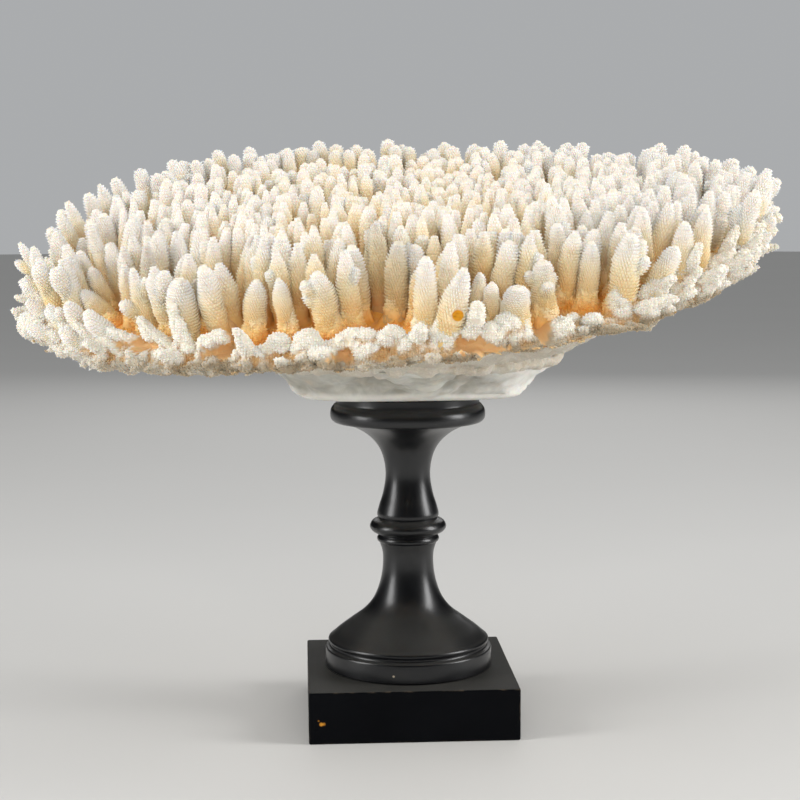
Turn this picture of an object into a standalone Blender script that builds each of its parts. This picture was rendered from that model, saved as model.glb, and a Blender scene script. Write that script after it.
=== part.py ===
"""Table coral on a turned display stand.

Metres, +Z up. The origin is the middle of the plinth's underside, and the front of the plinth faces -Y.
The coral is a shallow plate of fused limbs on a short stalk. It is split at its main forks: the foot
with its crown, eight limbs around it, and a thicket of branchlets standing on the crown and on each limb.
"""

from math import cos, pi, radians, sin, tau

import bmesh
import bpy
from mathutils import Vector

GAP = 0.0003  # between pieces that touch
SLIT = 0.0004  # between the coral's pieces, whose meeting faces are slightly twisted

# Plinth
PLINTH_SIDE = 0.120
PLINTH_HEIGHT = 0.030
PLINTH_EDGE = 0.0012

# Pedestal, a turned piece: radius and height up its outer side
STAND_HEIGHT = 0.192
PEDESTAL_STEPS = 28
PEDESTAL_PROFILE = (
    (0.0485, PLINTH_HEIGHT + GAP),
    (0.0493, 0.0312),
    (0.0493, 0.0412),
    (0.0470, 0.0425),
    (0.0470, 0.0448),
    (0.0474, 0.0464),
    (0.0456, 0.0487),
    (0.0409, 0.0532),
    (0.0320, 0.0593),
    (0.0238, 0.0654),
    (0.0193, 0.0730),
    (0.0165, 0.0805),
    (0.0150, 0.0895),
    (0.0152, 0.0985),
    (0.0170, 0.1040),
    (0.0184, 0.1068),
    (0.0174, 0.1084),
    (0.0206, 0.1104),
    (0.0226, 0.1136),
    (0.0208, 0.1170),
    (0.0176, 0.1188),
    (0.0184, 0.1206),
    (0.0168, 0.1258),
    (0.0142, 0.1345),
    (0.0131, 0.1435),
    (0.0141, 0.1525),
    (0.0172, 0.1608),
    (0.0236, 0.1678),
    (0.0327, 0.1741),
    (0.0430, 0.1766),
    (0.0455, 0.1795),
    (0.0452, 0.1842),
    (0.0424, 0.1900),
    (0.0405, STAND_HEIGHT),
)

# Coral foot and crown
FOOT_BOTTOM = STAND_HEIGHT + GAP
FOOT_HALF_WIDTH = 0.064  # at the flat cut, a rounded oblong
FOOT_HALF_DEPTH = 0.042
FOOT_SQUARENESS = 4
FOOT_WAVE = 0.0015
SHOULDER_RADIUS = 0.086  # where the foot has flared out under the limbs
SHOULDER_HEIGHT = 0.214
CROWN_RADIUS = 0.070  # the main limbs fork from this ring
FOOT_SPOKES = 32
FOOT_FLARE = ((0.0, 0.0), (0.16, 0.10), (0.42, 0.34), (0.70, 0.64), (1.0, 1.0))  # share outward, share upward
CROWN_RINGS = 4

# Plate: a shallow tilted dish, low at the front left and high at the back right
PLATE_MIDDLE = 0.268
PLATE_HALF_WIDTH = 0.200
PLATE_HALF_DEPTH = 0.170
RIM_RADIUS = 0.1885
RIM_THICKNESS = 0.010
LIMB_TAPER = 1.6  # the power by which a limb thins from its fork to the rim
LIMB_LOBE = 0.0035

# Branchlets
BRANCHLET_LENGTH = 0.043
RIM_BRANCHLET_LENGTH = 0.038
TIP_HOLLOW = 0.015  # how far a thicket's top drops between its tips
TWIG_REACH = 0.018  # how far the lowest twigs stand out past the rim
TWIG_REACH_LOST = 0.4  # the share of that reach lost at the right end, where the rim curls up

# The forks, as the angles of the slits between the limbs, and the limb that follows each slit
FORKS = (
    ("front", -108),
    ("front_right", -66),
    ("right", -24),
    ("back_right", 22),
    ("back", 65),
    ("back_left", 112),
    ("left", 158),
    ("front_left", 205),
)
LIMB_SPOKES = 8
LIMB_RINGS = 5


def material(name, colour, roughness):
    """A Principled material with a plain colour."""
    made = bpy.data.materials.new(name)
    made.use_nodes = True
    shader = made.node_tree.nodes["Principled BSDF"]
    shader.inputs["Base Color"].default_value = (*colour, 1.0)
    shader.inputs["Roughness"].default_value = roughness
    shader.inputs["Metallic"].default_value = 0.0
    made.diffuse_color = (*colour, 1.0)
    return made


def add_object(name, bm, finish, location=(0, 0, 0), crease=35):
    """Turns a bmesh into a named object, shaded smooth except at its sharp edges."""
    bmesh.ops.recalc_face_normals(bm, faces=bm.faces)
    mesh = bpy.data.meshes.new(name)
    bm.to_mesh(mesh)
    bm.free()
    mesh.materials.append(finish)
    mesh.shade_smooth()
    mesh.set_sharp_from_angle(angle=radians(crease))
    made = bpy.data.objects.new(name, mesh)
    made.location = location
    bpy.context.scene.collection.objects.link(made)
    return made


def ring_of_faces(bm, ring, above):
    """Quads between two rings of vertices."""
    for i in range(len(ring)):
        j = (i + 1) % len(ring)
        bm.faces.new((ring[i], ring[j], above[j], above[i]))


def skin(sections):
    """A solid through sections of equal length, with a flat end at each end."""
    bm = bmesh.new()
    rows = [[bm.verts.new(point) for point in section] for section in sections]
    for row, following in zip(rows, rows[1:]):
        ring_of_faces(bm, row, following)
    bm.faces.new(rows[0])
    bm.faces.new(rows[-1])
    return bm


def turn(profile, steps):
    """A solid of revolution about Z, closed by a pole at each end."""
    bm = bmesh.new()
    rings = []
    for radius, height in profile:
        angles = [tau * step / steps for step in range(steps)]
        rings.append([bm.verts.new((radius * cos(a), radius * sin(a), height)) for a in angles])
    for ring, above in zip(rings, rings[1:]):
        ring_of_faces(bm, ring, above)
    bm.faces.new(rings[0])
    bm.faces.new(rings[-1])
    return bm


def plate_height(x, y):
    """The plate's upper surface."""
    u = x / PLATE_HALF_WIDTH
    v = y / PLATE_HALF_DEPTH
    tilt = 0.009 * u + 0.019 * v
    dish = 0.0056 * v * v - 0.0125 * u * v
    curl = 0.014 * u**3 + 0.0157 * v**3 + 0.017 * u * u * v + 0.002 * u**4
    return PLATE_MIDDLE + tilt + dish + curl


def rim_radius(angle):
    """The plate's outline: wider than it is deep, and fuller at the front and the left."""
    oval = 0.014 * cos(2 * angle) - 0.0024 * sin(2 * angle)
    skew = -0.0065 * sin(angle) - 0.002 * cos(angle) - 0.003 * cos(3 * angle) + 0.003 * sin(3 * angle)
    return RIM_RADIUS + oval + skew


def underside_height(angle, radius, rim):
    """The plate's underside: flat over the foot's shoulder, then a limb that thins towards the rim."""
    if radius <= SHOULDER_RADIUS:
        return SHOULDER_HEIGHT
    over_shoulder = plate_height(SHOULDER_RADIUS * cos(angle), SHOULDER_RADIUS * sin(angle))
    fork_thickness = over_shoulder - SHOULDER_HEIGHT
    out = (radius - SHOULDER_RADIUS) / (rim - SHOULDER_RADIUS)
    thickness = RIM_THICKNESS + (fork_thickness - RIM_THICKNESS) * max(0.0, 1 - out) ** LIMB_TAPER
    return plate_height(radius * cos(angle), radius * sin(angle)) - thickness


def lean(angle, out):
    """How far a branchlet leans outward from upright, in radians. out is 0 in the middle, 1 at the rim."""
    most = 0.45 - 0.12 * sin(angle)
    return most * max(0.0, (out - 0.7) / 0.3)


def spoke_frame(angle, slide):
    """A spoke's direction, and its sideways shift, which leaves the slit between two limbs."""
    direction = Vector((cos(angle), sin(angle), 0.0))
    return direction, Vector((-sin(angle), cos(angle), 0.0)) * slide


def limb_spokes(start, end):
    """The angle and sideways shift of each spoke of a limb."""
    spokes = []
    for i in range(LIMB_SPOKES + 1):
        angle = start + (end - start) * i / LIMB_SPOKES
        slide = {0: SLIT / 2, LIMB_SPOKES: -SLIT / 2}.get(i, 0.0)
        spokes.append((angle, slide, i))
    return spokes


def limb_rings(rim):
    """The radii at which a limb is measured, from the fork to the rim."""
    inner = CROWN_RADIUS + SLIT
    return [inner + (rim - inner) * i / LIMB_RINGS for i in range(LIMB_RINGS + 1)]


def make_limb(name, start, end, finish):
    """A wedge of the plate, thick at the fork and thin at its lobed rim."""
    sections = []
    for angle, slide, index in limb_spokes(start, end):
        direction, shift = spoke_frame(angle, slide)
        rim = rim_radius(angle)
        lobe = LIMB_LOBE * sin(3 * pi * index / LIMB_SPOKES) ** 2
        upper = []
        lower = []
        for radius in limb_rings(rim):
            top = direction * radius
            top.z = plate_height(top.x, top.y)
            upper.append(top + shift)
            bottom = direction * radius
            bottom.z = underside_height(angle, radius, rim)
            lower.append(bottom + shift)
        nose = direction * (rim + RIM_THICKNESS * 0.4 + lobe) + shift
        nose.z = (upper[-1].z + lower[-1].z) / 2
        sections.append([*upper, nose, *reversed(lower)])
    return add_object(name, skin(sections), finish)


def make_thicket(name, start, end, finish):
    """The branchlets on a limb as one solid: tips and hollows on top, fanned outward at the rim."""
    sections = []
    for angle, slide, index in limb_spokes(start, end):
        direction, shift = spoke_frame(angle, slide)
        rim = rim_radius(angle)
        lower = []
        upper = []
        for ring, radius in enumerate(limb_rings(rim)):
            out = radius / rim
            foot = direction * radius
            foot.z = plate_height(foot.x, foot.y) + SLIT
            lower.append(foot + shift)
            rise = BRANCHLET_LENGTH if ring < LIMB_RINGS else RIM_BRANCHLET_LENGTH
            if (ring + index) % 2:
                rise -= TIP_HOLLOW
            slope = lean(angle, out)
            tip = direction * (radius + rise * sin(slope))
            tip.z = foot.z + rise * cos(slope)
            upper.append(tip + shift)
        edge = lower[-1]
        twig = 1.0 if index % 2 else 0.7
        low_reach = TWIG_REACH * twig * (1 - TWIG_REACH_LOST * max(0.0, cos(angle)))
        low_twigs = edge + direction * low_reach + Vector((0, 0, 0.0005))
        high_twigs = edge + direction * (TWIG_REACH * (twig + 0.25)) + Vector((0, 0, 0.011))
        sections.append([*lower, low_twigs, high_twigs, *reversed(upper)])
    return add_object(name, skin(sections), finish, crease=20)


def crown_disc(bm, lift, hollow=0.0):
    """A disc of the plate's surface over the crown, lifted by some height, and its outer ring."""
    rings = []
    for ring in range(CROWN_RINGS, 0, -1):
        radius = (CROWN_RADIUS - SLIT) * ring / CROWN_RINGS
        row = []
        for i in range(FOOT_SPOKES):
            x = radius * cos(tau * i / FOOT_SPOKES)
            y = radius * sin(tau * i / FOOT_SPOKES)
            drop = hollow * ((ring + i) % 2)
            row.append(bm.verts.new((x, y, plate_height(x, y) + lift - drop)))
        rings.append(row)
    for outer, inner in zip(rings, rings[1:]):
        ring_of_faces(bm, outer, inner)
    middle = bm.verts.new((0.0, 0.0, plate_height(0.0, 0.0) + lift))
    for i in range(FOOT_SPOKES):
        bm.faces.new((rings[-1][i], rings[-1][(i + 1) % FOOT_SPOKES], middle))
    return rings[0]


def cut_radius(angle):
    """The outline of the flat cut, an oblong with round corners and a slight wave."""
    along = abs(cos(angle) / FOOT_HALF_WIDTH) ** FOOT_SQUARENESS
    across = abs(sin(angle) / FOOT_HALF_DEPTH) ** FOOT_SQUARENESS
    wave = FOOT_WAVE * (sin(3 * angle + 0.6) + 0.6 * sin(5 * angle))
    return (along + across) ** (-1 / FOOT_SQUARENESS) + wave


def make_foot(finish):
    """The stalk: a flat cut below, a flared shoulder under the limbs, and the crown between them."""
    bm = bmesh.new()
    shoulder = SHOULDER_HEIGHT - SLIT
    rings = []
    for out, up in FOOT_FLARE:
        ring = []
        for i in range(FOOT_SPOKES):
            angle = tau * i / FOOT_SPOKES
            radius = cut_radius(angle) * (1 - out) + SHOULDER_RADIUS * out
            height = FOOT_BOTTOM + (shoulder - FOOT_BOTTOM) * up
            ring.append(bm.verts.new((radius * cos(angle), radius * sin(angle), height)))
        rings.append(ring)
    crown = crown_disc(bm, 0.0)
    rings.append([bm.verts.new((vert.co.x, vert.co.y, shoulder)) for vert in crown])
    rings.append(crown)
    for ring, above in zip(rings, rings[1:]):
        ring_of_faces(bm, ring, above)
    bm.faces.new(rings[0])
    return add_object("coral_foot", bm, finish)


def make_centre_thicket(finish):
    """The branchlets that stand on the crown."""
    bm = bmesh.new()
    bottom = crown_disc(bm, SLIT)
    top = crown_disc(bm, SLIT + BRANCHLET_LENGTH, TIP_HOLLOW)
    ring_of_faces(bm, bottom, top)
    return add_object("branchlets_centre", bm, finish, crease=20)


def make_plinth(finish):
    """The square base block, its edges eased."""
    bm = bmesh.new()
    bmesh.ops.create_cube(bm, size=1.0)
    bmesh.ops.scale(bm, verts=bm.verts, vec=(PLINTH_SIDE, PLINTH_SIDE, PLINTH_HEIGHT))
    bmesh.ops.bevel(bm, geom=bm.edges[:], offset=PLINTH_EDGE, segments=2, profile=0.5, affect="EDGES")
    return add_object("plinth", bm, finish, location=(0, 0, PLINTH_HEIGHT / 2))


def make_pedestal(finish):
    """The turned column with its foot disc and its flange."""
    return add_object("pedestal", turn(PEDESTAL_PROFILE, PEDESTAL_STEPS), finish)


def main():
    for old in list(bpy.data.objects):
        bpy.data.objects.remove(old, do_unlink=True)
    ebonised = material("ebonised_wood", (0.009, 0.010, 0.012), 0.38)
    turned = material("turned_ebonised_wood", (0.009, 0.011, 0.014), 0.30)
    limestone = material("bare_limestone", (0.42, 0.41, 0.37), 0.75)
    limb_shell = material("coral_limb", (0.62, 0.44, 0.26), 0.70)
    tips = material("coral_branchlets", (0.83, 0.76, 0.62), 0.65)
    make_plinth(ebonised)
    make_pedestal(turned)
    make_foot(limestone)
    make_centre_thicket(tips)
    ends = [angle for _, angle in FORKS[1:]] + [FORKS[0][1] + 360]
    for (place, start), end in zip(FORKS, ends):
        make_limb(f"limb_{place}", radians(start), radians(end), limb_shell)
        make_thicket(f"branchlets_{place}", radians(start), radians(end), tips)


main()
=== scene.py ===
"""The table coral and its stand: every finish and every grown or turned surface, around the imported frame."""

import random
from math import atan2, cos, degrees, exp, pi, radians, sin, tau

import bpy
import numpy as np
from mathutils import Matrix, Vector
from mathutils.bvhtree import BVHTree
from mathutils.kdtree import KDTree


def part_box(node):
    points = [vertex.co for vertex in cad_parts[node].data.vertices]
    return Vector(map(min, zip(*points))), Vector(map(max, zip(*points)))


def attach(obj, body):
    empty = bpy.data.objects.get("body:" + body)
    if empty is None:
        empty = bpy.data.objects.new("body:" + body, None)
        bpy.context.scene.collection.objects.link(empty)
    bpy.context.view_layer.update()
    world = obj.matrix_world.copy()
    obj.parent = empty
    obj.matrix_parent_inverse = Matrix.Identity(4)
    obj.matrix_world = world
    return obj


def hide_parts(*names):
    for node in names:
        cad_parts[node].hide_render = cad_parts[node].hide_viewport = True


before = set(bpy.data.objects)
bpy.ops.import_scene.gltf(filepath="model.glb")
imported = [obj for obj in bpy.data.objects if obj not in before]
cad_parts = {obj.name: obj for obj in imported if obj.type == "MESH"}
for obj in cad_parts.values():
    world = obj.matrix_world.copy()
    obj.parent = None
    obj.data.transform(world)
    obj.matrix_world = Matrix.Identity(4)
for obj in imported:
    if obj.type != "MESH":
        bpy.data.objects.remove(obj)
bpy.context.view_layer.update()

BODY = "root"
PLACES = ("front", "front_right", "right", "back_right", "back", "back_left", "left", "front_left")
UP = Vector((0, 0, 1))

# Branchlets, in metres
SPACING = 0.0135
LENGTH = 0.0415
GIRTH = 0.0089
ROOT = 0.004  # how deep a branchlet's root is sunk in the plate
CUP_PITCH = 0.0017  # between one row of cups and the next
CUP_RELIEF = 0.0014
CUP_UPTURN = 0.8  # how far a cup tips up, as a share of its relief
CUP_SCATTER = 0.00013
PLAIN_ROW = 0.0042  # between the rows of points below the cups
FLARE_HEIGHT = 0.0026  # how far up a root's spread is felt
FLAT_TOP = 0.97  # a face that looks up more than this bears no cup
ROW_SLACK = 0.00001  # less than any step between two rows of points
TURN_SLACK = 0.01  # radians. Counting round a row starts between two points

# Stand
EASED_EDGE = 0.0011  # how wide the plinth's edges are rounded

# Plate
LIMB_VOXEL = 0.0014
FOOT_VOXEL = 0.0017
RIM_START = 0.7  # share of the way to the rim where branchlets start to lean


# ---------------------------------------------------------------- shaders


class Wire:
    """A shader socket that Python's operators work on: each one adds a Math node."""

    def __init__(self, finish, socket):
        self.finish = finish
        self.socket = socket

    def math(self, operation, *values):
        return self.finish.node("ShaderNodeMath", {"operation": operation}, dict(enumerate(values)))

    def __add__(self, other):
        return self.math("ADD", self, other)

    def __sub__(self, other):
        return self.math("SUBTRACT", self, other)

    def __rsub__(self, other):
        return self.math("SUBTRACT", other, self)

    def __mul__(self, other):
        return self.math("MULTIPLY", self, other)

    def __abs__(self):
        return self.math("ABSOLUTE", self)

    __radd__ = __add__
    __rmul__ = __mul__

    def most(self, other):
        return self.math("MAXIMUM", self, other)

    def least(self, other):
        return self.math("MINIMUM", self, other)


class Finish:
    """One material. node() adds any shader node, and the other methods are the ones most used."""

    def __init__(self, name, constants):
        self.material = bpy.data.materials.new(name)
        self.material.use_nodes = True
        self.tree = self.material.node_tree
        self.shader = self.tree.nodes["Principled BSDF"]
        self.set(constants)

    def feed(self, socket, value):
        if isinstance(value, Wire):
            self.tree.links.new(value.socket, socket)
        elif isinstance(value, (tuple, list)) and socket.type == "RGBA":
            socket.default_value = (*value[:3], 1.0)
        else:
            socket.default_value = value

    def set(self, values):
        """Feeds the Principled shader's sockets."""
        for name, value in values.items():
            self.feed(self.shader.inputs[name], value)

    def node(self, kind, settings=None, inputs=None, output=0):
        made = self.tree.nodes.new(kind)
        for key, value in (settings or {}).items():
            if key == "stops":
                self.lay_ramp(made.color_ramp, value)
            else:
                setattr(made, key, value)
        for key, value in (inputs or {}).items():
            self.feed(made.inputs[key], value)
        return Wire(self, made.outputs[output])

    def lay_ramp(self, ramp, stops):
        while len(ramp.elements) < len(stops):
            ramp.elements.new(1.0)
        for element, (place, colour) in zip(ramp.elements, stops):
            element.position = place
            element.color = (*colour, 1.0)

    def place(self):
        """The point on the piece, in metres in the object's own frame."""
        return self.node("ShaderNodeTexCoord", output="Object")

    def axis(self, letter, vector=None):
        vector = vector or self.place()
        return self.node("ShaderNodeSeparateXYZ", {}, {0: vector}, output=letter)

    def facing_up(self):
        normal = self.node("ShaderNodeNewGeometry", output="Normal")
        return self.axis("Z", normal)

    def attribute(self, name):
        return self.node("ShaderNodeAttribute", {"attribute_name": name}, output="Fac")

    def noise(self, per_metre, detail=3.0, roughness=0.55, distortion=0.0):
        inputs = {"Vector": self.place(), "Scale": per_metre, "Detail": detail}
        inputs |= {"Roughness": roughness, "Distortion": distortion}
        return self.node("ShaderNodeTexNoise", {}, inputs)

    def cells(self, per_metre):
        return self.node("ShaderNodeTexVoronoi", {}, {"Vector": self.place(), "Scale": per_metre})

    def ease(self, value, low, high):
        """0 below low, 1 above high, and smooth between them."""
        inputs = {"Value": value, "From Min": low, "From Max": high}
        return self.node("ShaderNodeMapRange", {"interpolation_type": "SMOOTHSTEP"}, inputs)

    def ramp(self, value, *stops):
        return self.node("ShaderNodeValToRGB", {"stops": stops}, {0: value})

    def mix(self, share, first, second, blend="MIX"):
        """A colour between two others."""
        settings = {"data_type": "RGBA", "blend_type": blend}
        return self.node("ShaderNodeMix", settings, {0: share, 6: first, 7: second}, output=2)

    def bump(self, height, strength, depth, under=None):
        inputs = {"Height": height, "Strength": strength, "Distance": depth}
        if under:
            inputs["Normal"] = under
        return self.node("ShaderNodeBump", {}, inputs)

    def spot(self, centre, radius, softness=0.3):
        """1 inside a small round patch about a point, 0 outside it."""
        inputs = {0: self.place(), 1: centre}
        away = self.node("ShaderNodeVectorMath", {"operation": "DISTANCE"}, inputs, "Value")
        return 1 - self.ease(away, radius * (1 - softness), radius * (1 + softness))


# CUP_SHADE is painted shade: it darkens the hollows between the cups.
CUP_SHADE = (0.91, 0.83, 0.71)  # what the hollow of a cup does to the colour
TIP_WHITE = (0.905, 0.908, 0.912)
GREY_DIRT = (0.38, 0.32, 0.22)
# Soil and painted shade on the low band of the crust.
CRUST_SOIL_AND_SHADE = (0.33, 0.265, 0.18)
# The peach-orange of the hollows under the crust.
PEACH_HOLLOW = (0.72, 0.45, 0.21)
AMBER = (0.78, 0.35, 0.025)
SKELETON = {"Subsurface Weight": 0.40, "Subsurface Radius": (1.0, 0.6, 0.35), "Subsurface Scale": 0.0035}


def skeleton_colour(finish, along):
    """The coral's colour along a branchlet: orange at the root, peach half way up, off-white at the tip. It is
    partly the coral's own colour and partly painted shade and warm bounced light down between the branchlets.
    """
    return finish.ramp(
        along,
        (0.0, (0.80, 0.36, 0.07)),
        (0.16, (0.86, 0.48, 0.15)),
        (0.34, (0.89, 0.63, 0.29)),
        (0.54, (0.90, 0.75, 0.48)),
        (0.75, (0.90, 0.835, 0.68)),
        (0.92, (0.895, 0.895, 0.895)),
    )


def branchlet_finish():
    """Off-white finger coral: peach to orange down between the branchlets, partly its own colour and partly
    painted shade, with painted shade between the cups, near white at the tips.
    """
    finish = Finish("coral_branchlets", {"Specular IOR Level": 0.2, **SKELETON})
    reach = finish.attribute("reach")
    cup = finish.attribute("cup")
    tone = finish.attribute("tone")
    cloud = finish.noise(45, detail=4)
    grain = finish.noise(900, detail=2)
    # The tone holds each branchlet's random tone, plus painted light towards the plate's two ends.
    along = reach + (tone - 0.5) * 0.20 + (cloud - 0.5) * 0.20
    body = skeleton_colour(finish, along)
    # Painted shade: the hollows between the cups are darker than their raised points.
    hollow = finish.mix(1.0, body, CUP_SHADE, "MULTIPLY")
    surface = finish.mix(cup * 0.85 + grain * 0.15, hollow, body)
    whitened = finish.mix(finish.ease(reach, 0.82, 1.0) * cup * 0.6, surface, TIP_WHITE)
    dirt = finish.ease(finish.attribute("dirt") + (grain - 0.5) * 0.5, 0.35, 0.75)
    darkened = finish.mix(dirt * 0.38, whitened, GREY_DIRT)
    amber = finish.spot(EYE, EYE_RADIUS * 0.92, 0.12)
    fleck = finish.spot(FLECK, FLECK_RADIUS, 0.4)
    finish.set({"Base Color": finish.mix((amber + fleck * 0.8).least(1.0), darkened, AMBER)})
    finish.set({"Roughness": 0.62 + grain * 0.2})
    finish.set({"Normal": finish.bump(finish.noise(2200, detail=2), 0.4, 0.0003)})
    return finish.material


def limb_finish():
    """The plate: orange in its hollows above, partly its own colour and partly painted shade, bare grey-white
    ribs below, an off-white crust at the rim with painted shade in its pits and soil and painted shade on its
    lower band.
    """
    finish = Finish("coral_limb", {"Specular IOR Level": 0.2, **SKELETON})
    cloud = finish.noise(55, detail=5)
    grain = finish.noise(1100, detail=2)
    raised = finish.attribute("grain")
    rim = finish.attribute("rim")
    pit = finish.ease(finish.attribute("pit"), 0.35, 0.95)
    edge = finish.ease(rim + (cloud - 0.5) * 0.10, 0.90, 0.97)
    belt = finish.ease(rim, 0.68, 0.88)
    # Painted shade: the plate's floor between the branchlets and its pits shift towards orange.
    along = finish.attribute("reach") + (cloud - 0.5) * 0.22 - pit * 0.12 + belt * 0.12 + edge * 0.20
    above = skeleton_colour(finish, along)
    below = finish.ramp(
        cloud * 0.6 + grain * 0.4,
        (0.30, (0.46, 0.40, 0.32)),
        (0.55, (0.62, 0.57, 0.48)),
        (0.75, (0.74, 0.70, 0.62)),
    )
    ridge = finish.mix(raised * 0.7 + grain * 0.3, (0.72, 0.66, 0.54), (0.90, 0.885, 0.84))
    sunk = finish.attribute("sunk")
    # Soil and painted shade on the crust's low band; the shade is painted mostly at the front, since the sides
    # are lit.
    front = finish.ease(finish.axis("Y") * -1, 0.08, 0.15)
    low = finish.attribute("low")
    soil_and_shade = low * (0.12 + front * 0.50 + finish.ease(cloud, 0.35, 0.6) * (0.15 + front * 0.32))
    darkened = finish.mix(soil_and_shade.least(1.0), ridge, CRUST_SOIL_AND_SHADE)
    # Painted shade: the crust's pits turn orange-brown.
    crust = finish.mix(pit, darkened, (0.60, 0.38, 0.18))
    # Grey-white below the plate's upper side: the bare underside's own colour, and painted shade on the band
    # under the crust's knobs.
    sided = finish.mix(1 - sunk, below, above)
    hollow = finish.ease(finish.attribute("hollow"), 0.15, 0.6)
    crusted = finish.mix(edge, sided, crust)
    finish.set({"Base Color": finish.mix(hollow, crusted, PEACH_HOLLOW)})
    finish.set({"Roughness": 0.68 + grain * 0.2})
    finish.set({"Normal": finish.bump(finish.cells(620) + grain * 0.6, 0.4, 0.0004)})
    return finish.material


def foot_finish():
    """The stalk: bare limestone, with painted shade greying its hollows, paler where flakes have come away,
    orange on top.
    """
    finish = Finish("coral_foot", {"Specular IOR Level": 0.3, **SKELETON})
    cloud = finish.noise(38, detail=5, roughness=0.6, distortion=0.4)
    grain = finish.noise(700, detail=3)
    stain = finish.noise(70, detail=3)
    stone = finish.ramp(
        cloud,
        (0.28, (0.30, 0.285, 0.245)),
        (0.45, (0.47, 0.455, 0.40)),
        (0.62, (0.66, 0.64, 0.575)),
        (0.80, (0.84, 0.825, 0.77)),
    )
    pit = finish.ease(finish.attribute("pit"), 0.45, 0.9)
    shaded = finish.mix(pit * 0.6, stone, (0.27, 0.25, 0.20))
    warm = finish.mix(finish.ease(stain, 0.55, 0.8) * 0.5, shaded, (0.56, 0.46, 0.34))
    lip = 1 - finish.ease(finish.axis("Z"), 0.1950, 0.1985)
    clean_end = finish.ease(finish.axis("X") + (cloud - 0.5) * 0.04, 0.02, 0.065)
    pale = (lip * 0.6).most(clean_end * 0.75)
    pale_stone = finish.mix(pale, warm, (0.82, 0.80, 0.75))
    rust = finish.spot((0.025, -0.062, 0.2125), 0.0040, 0.6)
    stained = finish.mix(rust * 0.6, pale_stone, (0.28, 0.15, 0.06))
    crown = finish.ease(finish.axis("Z"), 0.250, 0.256) * finish.ease(finish.facing_up(), 0.1, 0.5)
    above = skeleton_colour(finish, (cloud - 0.5) * 0.3 + 0.08)
    finish.set({"Base Color": finish.mix(crown, stained, above)})
    finish.set({"Roughness": 0.6 + grain * 0.25})
    broad = finish.bump(finish.noise(160, detail=4), 0.5, 0.0012)
    finish.set({"Normal": finish.bump(grain, 0.35, 0.0004, broad)})
    return finish.material


def lacquer(finish, dust_share):
    """Ebonised wood under satin lacquer: near black, a little dust on what faces up, fine scratches."""
    cloud = finish.noise(30, detail=4)
    specks = finish.noise(1500, detail=2)
    dust = finish.ease(finish.facing_up(), 0.55, 0.98) * (0.35 + cloud * 0.9) * dust_share
    black = finish.mix(cloud, (0.0012, 0.0014, 0.0018), (0.0034, 0.0038, 0.0050))
    dusted = finish.mix((dust * (0.55 + specks * 0.9)).least(1.0), black, (0.085, 0.083, 0.076))
    return dusted, dust, cloud


def plinth_finish(side, height):
    """The base block: satin black, dusty on top, worn along its edges, chipped once at the front."""
    finish = Finish("plinth_wood", {"Specular IOR Level": 0.05})
    dusted, dust, cloud = lacquer(finish, 0.55)
    half = side / 2
    x = abs(finish.axis("X"))
    y = abs(finish.axis("Y"))
    z = abs(finish.axis("Z") - height / 2)
    near_x = finish.ease(x, half - EASED_EDGE, half - 0.0002)
    near_y = finish.ease(y, half - EASED_EDGE, half - 0.0002)
    near_z = finish.ease(z, height / 2 - EASED_EDGE, height / 2 - 0.0002)
    corner = (near_x * near_y).most(near_y * near_z).most(near_x * near_z)
    rub = corner * finish.ease(finish.noise(140, detail=4), 0.48, 0.70)
    worn = finish.mix(rub * 0.55, dusted, (0.10, 0.075, 0.05))
    chip = finish.spot((-0.0530, -half, 0.0118), 0.0010, 0.5)
    tail = finish.spot((-0.0515, -half, 0.0119), 0.0008, 0.6)
    scrape = finish.spot((-0.0545, -half, 0.0138), 0.0005, 0.5)
    bare = (chip + tail * 0.7 + scrape * 0.4).least(1.0)
    finish.set({"Base Color": finish.mix(bare, worn, (0.50, 0.21, 0.025))})
    finish.set({"Roughness": (0.30 + cloud * 0.16 + dust * 0.5 + bare * 0.3).least(0.95)})
    scratches = finish.noise(260, detail=5, roughness=0.7)
    finish.set({"Normal": finish.bump(scratches - bare * 1.5, 0.18, 0.0004)})
    return finish.material


def pedestal_finish():
    """The turned column: the same lacquer over faint turning marks, with one pale speck on the disc."""
    satin = {"Specular IOR Level": 0.50, "Coat Roughness": 0.22, "Coat Weight": 0.25}
    finish = Finish("pedestal_wood", satin)
    dusted, dust, cloud = lacquer(finish, 0.32)
    speck = finish.spot((-0.0115, -0.0480, 0.0352), 0.0006, 0.5)
    finish.set({"Base Color": finish.mix(speck * 0.8, dusted, (0.40, 0.33, 0.24))})
    finish.set({"Roughness": (0.27 + cloud * 0.12 + dust * 0.5).least(0.95)})
    along = {"W": finish.axis("Z"), "Scale": 1700.0}
    marks = finish.node("ShaderNodeTexNoise", {"noise_dimensions": "1D"}, along)
    uneven = finish.bump(finish.noise(60, detail=2), 0.10, 0.001)
    finish.set({"Normal": finish.bump(marks, 0.05, 0.0002, uneven)})
    return finish.material


def floor_finish():
    finish = Finish("studio_floor", {"Roughness": 0.7, "Specular IOR Level": 0.2})
    finish.set({"Base Color": finish.mix(finish.noise(3, detail=2), (0.60, 0.59, 0.57), (0.62, 0.61, 0.59))})
    return finish.material


# ---------------------------------------------------------------- bench tools


def clear_selection():
    """Leaves edit mode and selects nothing, so that the next operator acts on its own piece only."""
    if bpy.context.mode != "OBJECT":
        bpy.ops.object.mode_set(mode="OBJECT")
    bpy.ops.object.select_all(action="DESELECT")


def take(piece):
    """Makes this the one selected piece."""
    clear_selection()
    bpy.context.view_layer.objects.active = piece
    piece.select_set(True)


def edit():
    """Opens the active piece in edit mode with everything selected."""
    bpy.ops.object.mode_set(mode="EDIT")
    bpy.ops.mesh.select_mode(type="VERT")
    bpy.ops.mesh.select_all(action="SELECT")


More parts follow.
